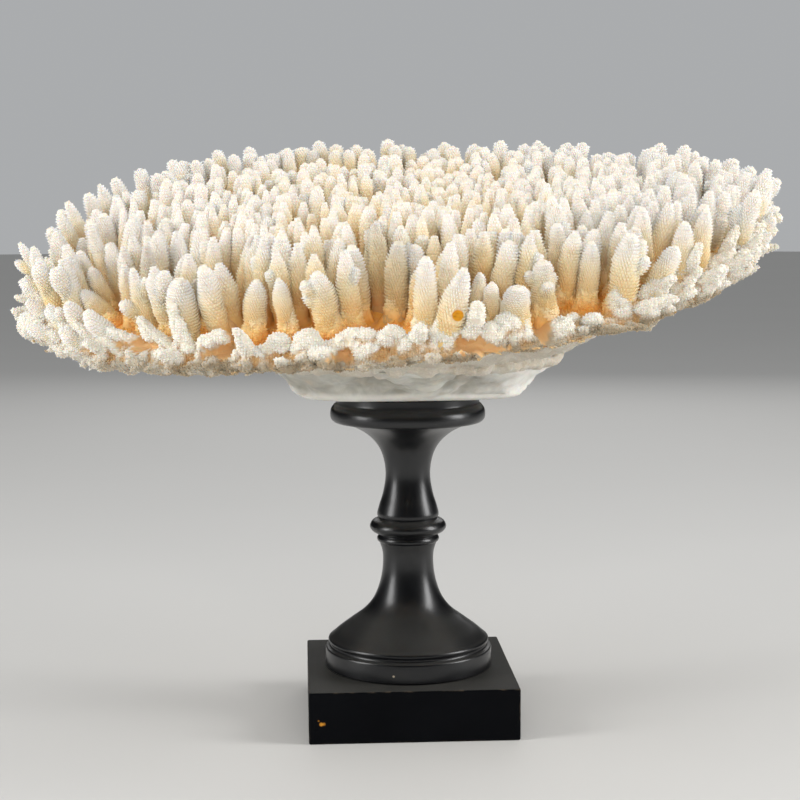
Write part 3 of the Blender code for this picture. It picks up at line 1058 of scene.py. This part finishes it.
def plant_thickets(belts, bed, chance):
    """Branchlets all over the plate on a jittered grid, pointed at the front and round at the back."""
    rows = round(PLATE_REACH / SPACING)
    for row in range(-rows, rows + 1):
        for place in range(-rows, rows + 1):
            x = (place + 0.5 * (row % 2)) * SPACING + chance.gauss(0, GRID_JITTER)
            y = row * SPACING * ROW_STEP + chance.gauss(0, GRID_JITTER)
            twist = chance.uniform(0, tau)
            tilt = Vector((chance.gauss(0, TILT_JITTER), chance.gauss(0, TILT_JITTER), 0))
            tall = chance.gauss(1.0, 0.035)
            tall *= chance.uniform(0.70, 0.88) if chance.random() < SHORT_SHARE else 1.0
            wide = chance.gauss(1.0, 0.07)
            tone = chance.random()
            pick = chance.random()
            shape_pick = chance.random()
            found = drop(x, y)
            angle = atan2(y, x)
            out = (x * x + y * y) ** 0.5 / float(rim_radius(angle))
            if not found or left_bare(x, y, angle, out) or over_the_edge(found[0]):
                continue
            family = "round" if shape_pick < round_share(y) else "pointed"
            belt = "outer" if out > (OUTER_FRONT if y < 0 else OUTER_BACK) else "inner"
            kinds, shares = zip(*belts[(belt, family)])
            kind = kinds[int(np.searchsorted(np.cumsum(shares) / sum(shares), pick))]
            slope = lean_of(angle, out)
            outward = Vector((cos(angle), sin(angle), 0))
            direction = (UP * cos(slope) + outward * sin(slope) + tilt).normalized()
            tall *= 1.02 - 0.12 * max(0.0, (out - 0.72) / 0.28) * (0.5 - 0.5 * sin(angle))
            tall *= 1 + 0.02 * max(0.0, sin(angle)) * max(0.0, (out - 0.6) / 0.4)
            tall *= 1 - 0.11 * exp(-(((degrees(angle) - 122) / 22) ** 2)) * (out > 0.6)
            dirt = max([0.0] + [1 - ((x - dx) ** 2 + (y - dy) ** 2) / (r * r) for dx, dy, r in DIRTY])
            girth = GIRTH * wide if out > OUTER_BACK else 0
            # The tone gets painted light added towards the plate's two ends.
            bed.plant(kind, found, direction, twist, (wide, wide, tall), girth, tone + painted_light_at_ends(x), dirt)


# Kinds, spacing along the rim, distance in from it, lift, elevation, size and share left out at the front
RIM_TIERS = (
    (("stub", "stick", "fork"), 0.0130, 0.009, 0.000, 0.85, 1.00, 1.0),
    (("stick", "spur", "stub"), 0.0135, 0.007, -0.001, 0.45, 0.85, 1.0),
)


def plant_rim(kinds, bed, chance):
    """Short branchlets in tiers along the plate's rim, pointing outward."""
    for names, spacing, inset, lift, elevation, size, bare_front in RIM_TIERS:
        for angle in around(round(RIM_LENGTH / spacing), 0.3, chance):
            right = max(0.0, cos(angle))
            rise = elevation + (0.7 - 0.6 * elevation) * right**2 + chance.gauss(0, 0.15)
            swing = chance.gauss(0, 0.22)
            scale = size * (1 - 0.25 * right) * chance.uniform(0.78, 1.15)
            twist = chance.uniform(0, tau)
            tone = chance.uniform(0.5, 1.0)
            name = chance.choice(names)
            radius = float(rim_radius(angle)) - inset
            found = drop_at(angle, radius)
            left_out = chance.random() < bare_front * max(0.0, -sin(angle) * 1.3) ** 2
            crowded = near_hand_set(radius * cos(angle), radius * sin(angle), RIM_CLEAR)
            if not found or left_out or crowded:
                continue
            heading = angle + swing
            outward = Vector((cos(heading), sin(heading), 0))
            direction = (outward * cos(rise) + UP * sin(rise)).normalized()
            standing = (found[0] + UP * lift, found[1])
            bed.plant(kinds[name], standing, direction, twist, (scale, scale, scale), 0.0084 * scale, tone)


def plant_coral():
    """Plants every branchlet and joins those of each limb into one piece. Gives back their roots."""
    chance = random.Random(20)
    bed = Bed()
    bud_cups = dict(columns=14, cups_from=0.001, pale=0.62, spread=0)
    twig_cups = dict(columns=15, cups_from=0.002, pale=0.40, spread=0)
    bud = grow_finger("bud", 0.012, 0.0072, 0.009, 0.0013, 0.92, 0.7, **bud_cups)
    twig = grow_finger("twig", 0.022, 0.0080, 0.011, 0.0013, 0.90, 0.7, 8, **twig_cups)
    outer = dict(columns=19, cups_from=0.007, pale=0.14)
    inner = dict(columns=13, cups_from=0.018, relief=0.0008)
    belts = {
        ("outer", "pointed"): grow_kinds(POINTED, "outer", GIRTH, 7, bud, twig, **outer),
        ("outer", "round"): grow_kinds(ROUND, "outer", GIRTH * 0.95, 7, bud, twig, **outer),
        ("inner", "pointed"): grow_kinds(POINTED, "inner", GIRTH * 0.90, 4, bud, twig, **inner),
        ("inner", "round"): grow_kinds(ROUND, "inner", GIRTH * 0.86, 4, bud, twig, **inner),
    }
    rim_kinds = grow_rim_kinds(bud)
    plant_by_hand(bed)
    plant_thickets(belts, bed, chance)
    plant_rim(rim_kinds, bed, chance)
    finish = branchlet_finish()
    for place, fingers in bed.thickets.items():
        thicket = join(fingers, f"thicket_{place}")
        weather(thicket, "CLOUDS", 0.012, 0.0026)
        if place == "front":
            press_eye(thicket)
        put_up(thicket, finish, "coral_branchlets", f"branchlets_{place}")
    put_away([bud, twig, *rim_kinds.values(), *(kind for belt in belts.values() for kind, _ in belt)])
    return bed.roots


# ---------------------------------------------------------------- coral foot and limbs


def copy_of_node(node, name):
    """A new piece with a CAD node's shape, its loose triangles merged into one shell."""
    piece = bpy.data.objects.new(name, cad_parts[node].data.copy())
    bpy.context.scene.collection.objects.link(piece)
    tidy_shell(piece)
    return piece


def smoothed(points, edges, rounds):
    """The points after each has been moved to the middle of its neighbours so many times."""
    ends = np.concatenate([edges[:, 0], edges[:, 1]])
    others = np.concatenate([edges[:, 1], edges[:, 0]])
    count = np.bincount(ends, minlength=len(points))
    for _ in range(rounds):
        sums = [np.bincount(ends, weights=points[others, axis], minlength=len(points)) for axis in range(3)]
        points = np.stack(sums, 1) / count[:, None]
    return points


def note_pits(piece, rounds, depth):
    """Writes how deep each vertex lies in a pit, from 0 on a ridge to 1 in a hollow. The finishes paint shade
    by it.
    """
    points = points_of(piece)
    sunk = np.einsum("ij,ij->i", smoothed(points, edges_of(piece), rounds) - points, normals_of(piece))
    note(piece, "pit", np.clip(0.5 + sunk / depth / 2, 0, 1))


def grain_up(piece, chosen):
    """Raises a grain in the middle of most of the chosen faces."""
    draw = np.random.default_rng(len(chosen))
    stems = poke(piece, chosen & (draw.random(len(chosen)) < GRAINED_SHARE))
    points = points_of(piece)
    grains = len(points) - stems
    lift = draw.uniform(0.2, 1.6, grains) * GRAIN
    stray = draw.uniform(-GRAIN_SCATTER, GRAIN_SCATTER, (grains, 3))
    points[stems:] += normals_of(piece)[stems:] * lift[:, None] + stray
    move_points(piece, points)
    grain = np.zeros(len(points))
    grain[stems:] = 1.0
    note(piece, "grain", grain)


def rib_pattern(angle, out):
    """Fused branches under the plate: ribs that radiate from the stalk and fork on the way out."""
    sway = 0.10 * np.sin(angle * 3 + 1.1) + 0.05 * np.sin(angle * 7 + out * 9)
    inner = np.cos((angle + sway * out) * 26)
    outer = np.cos((angle + sway * out) * 52 + 0.8)
    share = np.clip((out - 0.52) / 0.25, 0, 1)
    return inner * (1 - share) + outer * share


# Rows of lumps: spacing along the rim, distance in from it, lift, radius, stretch outward, and the share of
# them left out at the front, where the lumps are listed one by one
CRUST_ROWS = (
    (0.0062, 0.003, 0.001, 0.0034, 1.2, 0.8),
    (0.0070, 0.002, -0.002, 0.0029, 1.1, 0.5),
    (0.0085, 0.007, 0.002, 0.0034, 1.7, 0.9),
    (0.0105, 0.014, 0.001, 0.0034, 2.2, 0.8),
)
# Rows of stubs fused into the crust: spacing along the rim, distance in from it, lift, length, radius at
# the root, elevation, and the share of them left out at the front
STUB_ROWS = (
    (0.0130, 0.010, 0.002, 0.021, 0.0047, 0.85, 0.9),
    (0.0118, 0.006, 0.000, 0.019, 0.0044, 0.40, 0.8),
    (0.0108, 0.004, -0.003, 0.015, 0.0039, 0.00, 0.5),
    (0.0080, 0.003, -0.004, 0.008, 0.0026, -0.30, 0.1),
)
# Where the limbs meet the stalk
SHOULDER = 0.083
SHOULDER_HEIGHT = 0.2145
SHOULDER_LUMPS = 76
SHOULDER_LUMP = 0.0060
SHOULDER_SEARCH = 0.12  # how far out to look for the limb that a lump belongs to
# How the plate's upper side rises round a branchlet's root: how much, how wide, and how far it sinks between
RISE = 0.0045
RISE_WIDTH = 0.0058
RISE_SINK = 0.0012
# On the limbs
RIB_HEIGHT = 0.0021
CRUST_SCATTER = 0.00032
GRAIN = 0.0007
GRAIN_SCATTER = 0.0003
GRAINED_SHARE = 0.62  # of the crust's faces
SLIT_CLOSING = 0.0009
# Lumps listed one by one: x, y and z of the middle, radius, and how flat it is, in millimetres
HAND_LUMPS = (
    (-208, -38, 236, 11.5, 0.88),
    (-214, -36, 239, 5.0, 0.90),
    (-212, -34, 231, 5.0, 0.90),
    (-203, -48, 229, 5.5, 0.80),
    (-196, -44, 238, 5.5, 0.80),
    (-191, -59, 235, 9.0, 0.80),
    (-183, -71, 231, 5.5, 0.80),
    (-175, -83, 226, 6.0, 0.80),
    (-167, -94, 228, 5.5, 0.80),
    (-160, -102, 229, 5.5, 0.80),
    (-150, -112, 225, 5.0, 0.80),
    (-139, -123, 224, 5.0, 0.80),
    (-181, -83, 222, 4.0, 0.80),
    (-166, -100, 221, 4.5, 0.80),
    (-156, -110, 219, 4.5, 0.80),
    (-146, -119, 219, 4.5, 0.80),
    (-128, -134, 221, 4.0, 0.80),
    (-133, -128, 227, 4.5, 0.80),
    (-119, -139, 231, 5.5, 0.90),
    (-112, -143, 229, 4.0, 0.90),
    (-109, -146, 235, 5.0, 0.90),
    (-103, -149, 238, 4.5, 0.90),
    (-93, -154, 229, 4.0, 0.90),
    (-82, -160, 230, 4.5, 0.90),
    (-77, -162, 232, 4.5, 0.90),
    (-73, -163, 236, 5.5, 0.90),
    (-63, -168, 233, 4.0, 0.90),
    (-59, -169, 237, 6.5, 0.90),
    (-53, -171, 234, 4.0, 0.90),
    (-47, -173, 234, 3.5, 0.80),
    (-42, -174, 238, 4.0, 0.90),
    (-37, -175, 240, 4.5, 0.90),
    (-35, -176, 235, 4.5, 0.90),
    (-31, -177, 240, 5.0, 0.90),
    (-27, -178, 235, 3.5, 0.90),
    (-21, -179, 238, 5.5, 0.90),
    (-18, -179, 241, 5.0, 0.90),
    (-13, -180, 235, 5.0, 0.90),
    (-7, -180, 237, 4.5, 0.90),
    (-2, -181, 234, 4.5, 0.90),
    (5, -181, 236, 4.0, 0.90),
    (16, -183, 241, 3.0, 0.80),
    (24, -183, 240, 3.5, 0.80),
    (30, -181, 242, 6.0, 0.90),
    (37, -180, 246, 6.0, 0.90),
    (40, -180, 237, 5.5, 0.90),
    (45, -179, 239, 5.0, 0.90),
    (64, -174, 242, 7.0, 0.90),
    (68, -173, 237, 6.0, 0.90),
    (75, -171, 240, 6.0, 0.90),
    (80, -169, 245, 6.0, 0.90),
    (89, -166, 243, 6.0, 0.90),
    (96, -162, 248, 6.0, 0.90),
    (106, -156, 248, 5.5, 0.90),
    (117, -150, 246, 5.5, 0.90),
    (214, -10, 294, 3.6, 0.85),
    (207, -10, 292, 4.0, 0.85),
    (194, -45, 276, 3.4, 0.85),
    (187, -45, 274, 4.0, 0.85),
    (181, -65, 266, 3.4, 0.80),
    (174, -65, 264, 4.0, 0.80),
    (165, -80, 258, 3.2, 0.80),
)
# Stubs listed one by one: x, y and z of the root, how far the tip is to the right of that, in front of it and
# above it, and the radius at the root, in millimetres
HAND_STUBS = (
    (-197, -55, 229, -3, 3, -9, 3.2),
    (-172, -79, 240, -11, 3, -15, 5.0),
    (-180, -75, 227, -4, 3, -11, 3.6),
    (-171, -90, 226, -3, 3, -10, 3.2),
    (-163, -99, 224, 1, 3, -10, 3.2),
    (-153, -110, 224, 8, 3, -9, 3.2),
    (150, -80, 254, 19, 3, 5, 4.2),
    (154, -108, 267, 21, 3, 1, 4.0),
    (146, -117, 263, 13, 3, -1, 3.4),
    (139, -125, 260, 13, 3, -4, 3.4),
    (126, -136, 257, 10, 3, -5, 3.6),
    (104, -152, 247, 13, 4, -7, 4.5),
    (190, -10, 287, 27, 0, 8, 4.6),
    (176, -45, 272, 24, 0, 5, 4.6),
    (160, -66, 261, 26, 0, 6, 4.4),
)


def make_masters():
    """The ball and the cone that every lump is a copy of, each one unit in size and at the origin."""
    clear_selection()
    bpy.ops.mesh.primitive_ico_sphere_add(subdivisions=2, radius=1, location=(0, 0, 0))
    ball = bpy.context.object
    ball.name = "lump"
    bpy.ops.mesh.primitive_cone_add(vertices=10, radius1=1, radius2=0.36, depth=1, location=(0, 0, 0.5))
    cone = bpy.context.object
    cone.name = "stub_core"
    take(cone)
    bpy.ops.object.transform_apply(location=True, rotation=True, scale=True)
    return ball, cone


def cone_along(cone, point, direction, length, root):
    """A cone that starts at a point and runs along a direction, for the remesh to fuse in."""
    return copy_finger(cone, stand_on(point, direction, 0, (root, root, length)))


def set_by_hand(angle):
    """How much of the rim's crust is listed one by one here: 1 at the front and at the left end, 0 elsewhere.
    """
    front = max(0.0, -sin(angle) * 1.15) ** 4
    left = exp(-(((degrees(angle) % 360 - 196) / 17) ** 4))
    return min(1.0, max(front, left))


def lay_crust(lumps, ball, chance):
    """The lumps that the crust at the rim grows from."""
    for spacing, inset, lift, size, stretch, bare_front in CRUST_ROWS:
        for angle in around(round(RIM_LENGTH / spacing), 0.35, chance):
            radius = float(rim_radius(angle)) - inset - chance.uniform(0, 0.003)
            jump = lift + chance.gauss(0, 0.0013)
            scale = size * chance.uniform(0.65, 1.35)
            flat = chance.uniform(0.7, 1.05)
            twist = angle + chance.gauss(0, 0.5)
            found = drop_at(angle, radius)
            left_out = 0.12 + bare_front * set_by_hand(angle)
            if not found or found[1] == "coral_foot" or chance.random() < left_out:
                continue
            turn = Matrix.Rotation(twist, 4, "Z") @ Matrix.Diagonal((stretch * scale, scale, flat * scale, 1))
            lump = copy_finger(ball, Matrix.Translation(found[0] + UP * jump) @ turn)
            lumps[thicket_of(found[1])].append(lump)


def lay_stubs(lumps, cone, chance):
    """Stubs in rows that fan out from the crust."""
    for spacing, inset, lift, length, root, elevation, bare_front in STUB_ROWS:
        for angle in around(round(RIM_LENGTH / spacing), 0.35, chance):
            right = max(0.0, cos(angle))
            rise = elevation + (0.9 - 0.75 * elevation) * right**2 + chance.gauss(0, 0.2)
            heading = angle + chance.gauss(0, 0.3)
            scale = chance.uniform(0.7, 1.2)
            radius = float(rim_radius(angle)) - inset
            found = drop_at(angle, radius)
            left_out = chance.random() < bare_front * set_by_hand(angle)
            if not found or found[1] == "coral_foot" or left_out:
                continue
            direction = Vector((cos(heading) * cos(rise), sin(heading) * cos(rise), sin(rise)))
            point = found[0] + UP * lift
            lumps[thicket_of(found[1])].append(cone_along(cone, point, direction, length * scale, root))


def lay_roots(lumps, cone, roots):
    """A flared root for each branchlet of the outer belt, so that neighbours fuse at the foot."""
    for place, point, direction, girth in roots:
        if girth and place != "centre":
            lumps[place].append(cone_along(cone, point - direction * 0.003, direction, 0.018, girth * 0.80))


def lay_shoulder(lumps, ball, chance):
    """Lumps round the foot's shoulder, which fuse each limb down onto the stalk."""
    for angle in around(SHOULDER_LUMPS, 0.3, chance):
        near = drop_at(angle, SHOULDER_SEARCH)
        if near and near[1] != "coral_foot":
            scale = chance.uniform(0.8, 1.2) * SHOULDER_LUMP
            shape = Matrix.Diagonal((scale * 1.5, scale * 1.2, scale * 0.75, 1))
            size = Matrix.Rotation(angle, 4, "Z") @ shape
            middle = Vector((SHOULDER * cos(angle), SHOULDER * sin(angle), SHOULDER_HEIGHT))
            lumps[thicket_of(near[1])].append(copy_finger(ball, Matrix.Translation(middle) @ size))


def lay_lumps(roots):
    """Everything that is fused into the limbs, by limb."""
    ball, cone = make_masters()
    lumps = {place: [] for place in PLACES}
    lay_crust(lumps, ball, random.Random(7))
    lay_stubs(lumps, cone, random.Random(11))
    lay_roots(lumps, cone, roots)
    lay_shoulder(lumps, ball, random.Random(3))
    for x, y, z, radius, flat in HAND_LUMPS:
        angle = atan2(y, x)
        place = thicket_of(drop_at(angle, float(rim_radius(angle)) * 0.9)[1])
        size = Matrix.Diagonal((radius / 1000, radius / 1000, radius * flat / 1000, 1))
        lumps[place].append(copy_finger(ball, Matrix.Translation(Vector((x, y, z)) / 1000) @ size))
    for x, y, z, right, front, above, root in HAND_STUBS:
        stretch = Vector((right, -front, above)) / 1000
        place = thicket_of(drop(x / 1000 * 0.95, y / 1000 * 0.95)[1])
        stub = cone_along(cone, Vector((x, y, z)) / 1000, stretch.normalized(), stretch.length, root / 1000)
        lumps[place].append(stub)
    put_away((ball, cone))
    return lumps


def rise_to_roots(points, normals, root_tree):
    """Lifts the plate's upper side towards the branchlets that stand on it."""
    heights = height_over_plate(points)
    for index in np.flatnonzero((normals[:, 2] > 0.4) & (heights < 0.002)):
        point = points[index]
        away = root_tree.find(Vector((point[0], point[1], 0)))[2]
        points[index, 2] += RISE * exp(-((away / RISE_WIDTH) ** 2)) - RISE_SINK


# Hollows under the crust: x, y and z of the middle, half the width and half the height, in millimetres
HOLLOWS = (
    (20, -187, 235, 9, 3.8),
    (29, -186, 233, 7, 2.6),
    (-146, -126, 232, 10, 3.0),
    (-100, -134, 241, 6, 6.0),
    (55, -172, 241, 5, 6.0),
    (-102, -148, 230, 8, 3.0),
    (-44, -172, 230, 8, 2.6),
)
HOLLOW_DEPTH = 0.0075


def draw_in_rim(points):
    """Thins the rim, and draws its lower half in under its upper half."""
    depth = -height_over_plate(points)
    near_rim = np.clip((share_out(points) - 0.88) / 0.06, 0, 1)
    front = np.clip(-points[:, 1] / 0.12, 0, 1)
    drawn_in = np.clip((depth - 0.003) / 0.005, 0, 1) * near_rim * (0.0030 + 0.0035 * front)
    moved = inward_of(points) * drawn_in[:, None]
    left = np.clip((-points[:, 0] - 0.09) / 0.015, 0, 1)
    right = np.clip((points[:, 0] - 0.09) / 0.015, 0, 1) * np.clip((0.16 - points[:, 0]) / 0.015, 0, 1)
    hanging = (points[:, 1] < 0) * (left + right)
    moved[:, 2] += np.clip(depth - 0.0045, 0, 0.02) * near_rim * (0.7 - 0.55 * hanging)
    return moved


def close_slits(points, normals):
    """Widens a limb a little where it meets its neighbours, so that the plate shows no seam."""
    out = np.hypot(points[:, 0], points[:, 1])[:, None]
    sideways = points[:, [1, 0, 2]] * (-1, 1, 0) / out
    facing = np.einsum("ij,ij->i", sideways, normals)
    return sideways * (np.sign(facing) * np.clip((abs(facing) - 0.5) * 4, 0, 1) * SLIT_CLOSING)[:, None]


def depth_in_hollow(points):
    """How deep each point lies in one of the hollows, from 0 outside them to 1 in the middle of one."""
    depth = np.zeros(len(points))
    for x, y, z, wide, high in HOLLOWS:
        wobble = 1 + 0.28 * np.sin(points[:, 0] * 610 + z)
        wobble += 0.16 * np.sin(points[:, 0] * 1500 + points[:, 2] * 900)
        away = (points - np.array((x, y, z)) / 1000) * 1000 / (wide, 12, high) * wobble[:, None]
        depth = np.maximum(depth, np.exp(-np.einsum("ij,ij->i", away, away) ** 2))
    return depth


def press_hollows(limb):
    """Presses the hollows in, and notes them for the finish."""
    points = points_of(limb)
    depth = depth_in_hollow(points)
    pressed = points + inward_of(points) * (depth * HOLLOW_DEPTH)[:, None]
    if depth.max() > 0.1:
        soft = np.clip(depth * 1.6, 0, 1)[:, None]
        pressed = pressed * (1 - soft) + smoothed(pressed, edges_of(limb), 5) * soft
    move_points(limb, pressed)
    note(limb, "hollow", depth)


def grow_limb(place, lumps, root_tree, finish):
    """A fan of fused branches: smooth ribs below, rough hollows above and a crusty rim."""
    node = f"limb_{place}"
    limb = join([copy_of_node(node, "limb"), *lumps], f"fused_limb_{place}")
    finish_modifier(limb, "REMESH", mode="VOXEL", voxel_size=LIMB_VOXEL, use_smooth_shade=True)
    points = points_of(limb)
    normals = normals_of(limb)
    angle = np.arctan2(points[:, 1], points[:, 0])
    out = share_out(points)
    facing_down = np.clip(-normals[:, 2] * 1.5, 0, 1)
    below = facing_down * np.clip((out - 0.42) / 0.12, 0, 1) * np.clip((1.0 - out) / 0.05, 0, 1)
    lift = below * (rib_pattern(angle, out) * RIB_HEIGHT + 0.0004)
    points += normals * lift[:, None] + close_slits(points, normals)
    rise_to_roots(points, normals, root_tree)
    points += draw_in_rim(points)
    crusted = (share_out(points) > 0.86) & (depth_in_hollow(points) < 0.1)
    scatter = np.random.default_rng(5).uniform(-CRUST_SCATTER, CRUST_SCATTER, points.shape)
    points += scatter * crusted[:, None]
    move_points(limb, points)
    weather(limb, "CLOUDS", 0.009, 0.0026)
    weather(limb, "STUCCI", 0.0035, 0.0012)
    press_hollows(limb)
    points = points_of(limb)
    out = share_out(points)
    note(limb, "rim", out)
    heights = height_over_plate(points)
    note(limb, "reach", np.clip(heights * 1.6 / LENGTH, 0, 1))
    # How far a point sinks below the plate's upper side, for the underside colour and the painted shade under
    # the knobs.
    note(limb, "sunk", np.clip((-heights - 0.0005) / 0.0035, 0, 1))
    # How low a point lies on the crust, for the soil and painted shade on its lower band.
    note(limb, "low", np.clip((0.0022 - heights) / 0.0040, 0, 1))
    note_pits(limb, 14, 0.0016)
    centres = face_centres(limb)
    hollow = depth_in_hollow(centres) > 0.25
    above = (share_out(centres) > 0.80) & (height_over_plate(centres) > -0.002)
    grained = (share_out(centres) > 0.93) | (height_over_plate(centres) > 0.006) | above
    grain_up(limb, grained & ~hollow)
    take(limb)
    bpy.ops.object.shade_smooth_by_angle(angle=radians(25))
    put_up(limb, finish, "coral_limb", node)


def shape_foot():
    """The stalk, with a thin lip at its flat cut, smooth hollows and draped bulges."""
    low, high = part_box("coral_foot")
    foot = copy_of_node("coral_foot", "stalk")
    finish_modifier(foot, "REMESH", mode="VOXEL", voxel_size=FOOT_VOXEL, use_smooth_shade=True)
    points = points_of(foot)
    angle = np.arctan2(points[:, 1], points[:, 0])
    rise = (points[:, 2] - low.z) / 0.022
    side = np.clip(rise * 5, 0, 1) * np.clip((1.25 - rise) * 4, 0, 1)
    folds = 0.55 * np.sin(3 * angle + 0.8 + rise * 0.9) + 0.35 * np.sin(7 * angle - 1.3 + rise * 2.2)
    dips = np.exp(-((rise - 0.42) / 0.28) ** 2)
    push = side * (folds * 0.0024 - dips * 0.0034) + 0.0014 * np.exp(-((rise - 0.06) / 0.09) ** 2)
    radial = np.stack([np.cos(angle), np.sin(angle), np.zeros_like(angle)], 1)
    points += radial * push[:, None]
    points += radial * (drape(points) + ring_mark(points))[:, None]
    move_points(foot, points)
    group = foot.vertex_groups.new(name="weathered")
    for index, share in enumerate(np.clip(rise * 4, 0, 1)):
        group.add([index], float(share), "REPLACE")
    weather(foot, "CLOUDS", 0.020, 0.0095, "weathered")
    weather(foot, "CLOUDS", 0.006, 0.0012, "weathered")
    points = points_of(foot)
    points[:, 2] = np.clip(points[:, 2], low.z, high.z)
    move_points(foot, points)
    note_pits(foot, 30, 0.0018)
    put_up(foot, foot_finish(), "coral_foot", "coral_foot")


def drape(points):
    """A lobe of stone draped over the front of the stalk, with a scalloped lower edge."""
    x = points[:, 0] * 1000
    z = points[:, 2] * 1000
    along = np.clip((x + 20) / 43, 0, 1)
    edge = 208.5 - 7.5 * np.sin(pi * along**1.35)
    inside = np.clip((z - edge) / 1.6 + 0.5, 0, 1) * np.clip((218 - z) / 8, 0, 1)
    ends = np.clip(np.minimum(x + 24, 24 - x) / 5, 0, 1)
    return (points[:, 1] < 0) * inside * ends * 0.0058


def ring_mark(points):
    """An oval scar, ringed by a low ridge, at the front left of the stalk."""
    away = np.hypot((points[:, 0] + 0.028) / 0.0060, (points[:, 2] - 0.2035) / 0.0026)
    return (points[:, 1] < 0) * (np.exp(-((away - 1) / 0.35) ** 2) * 0.0012 - np.exp(-(away**2)) * 0.0008)


def grow_plate():
    """The branchlets first, and then the limbs, which rise a little to each branchlet's root."""
    roots = plant_coral()
    root_tree = KDTree(len(roots))
    for index, (_, root, _, _) in enumerate(roots):
        root_tree.insert((root.x, root.y, 0), index)
    root_tree.balance()
    lumps = lay_lumps(roots)
    finish = limb_finish()
    for place in PLACES:
        grow_limb(place, lumps[place], root_tree, finish)


# ---------------------------------------------------------------- studio


def area_light(name, place, aim, size, power):
    """A soft light at a place, turned to what it lights."""
    light = bpy.data.lights.new(name, "AREA")
    light.shape = "RECTANGLE"
    light.size, light.size_y = size
    light.energy = power
    made = bpy.data.objects.new(name, light)
    made.location = place
    made.rotation_euler = (Vector(aim) - Vector(place)).to_track_quat("-Z", "Y").to_euler()
    bpy.context.scene.collection.objects.link(made)
    return made


def build_studio():
    """A pale floor, soft light from both sides and above, and the camera at the front."""
    clear_selection()
    bpy.ops.mesh.primitive_circle_add(vertices=96, radius=9, fill_type="NGON", location=(0, 0, 0))
    floor = bpy.context.object
    floor.name = "studio_floor"
    floor.data.materials.append(floor_finish())
    coral = (0, 0, 0.26)
    area_light("softbox_left", (-1.35, -0.40, 0.70), (0, 0, 0.2), (0.5, 1.1), 14.8)
    area_light("softbox_right", (1.35, -0.35, 0.75), (0, 0, 0.2), (0.5, 1.1), 17)
    area_light("overhead", (0.1, 0.05, 1.5), coral, (1.3, 1.0), 2.0)
    area_light("front_fill", (-0.06, -1.6, 0.46), coral, (1.3, 0.6), 10.4).visible_glossy = False
    area_light("back_fill", (0.2, 1.7, 0.9), coral, (1.4, 0.9), 5)
    world = bpy.data.worlds.new("studio_air")
    world.use_nodes = True
    world.node_tree.nodes["Background"].inputs["Color"].default_value = (0.86, 0.88, 0.90, 1)
    world.node_tree.nodes["Background"].inputs["Strength"].default_value = 0.47
    world.cycles_visibility.glossy = False
    bpy.context.scene.world = world
    camera = bpy.data.objects.new("camera", bpy.data.cameras.new("camera"))
    camera.location = (-0.0637, -1.0162, 0.3061)
    camera.rotation_euler = (radians(83.39), radians(0.21), radians(-3.36))
    camera.data.sensor_width = 36
    camera.data.lens = 78.6
    bpy.context.scene.collection.objects.link(camera)
    bpy.context.scene.camera = camera
    bpy.context.scene.view_settings.view_transform = "Standard"


build_studio()
turn_pedestal()
saw_plinth()
shape_foot()
grow_plate()
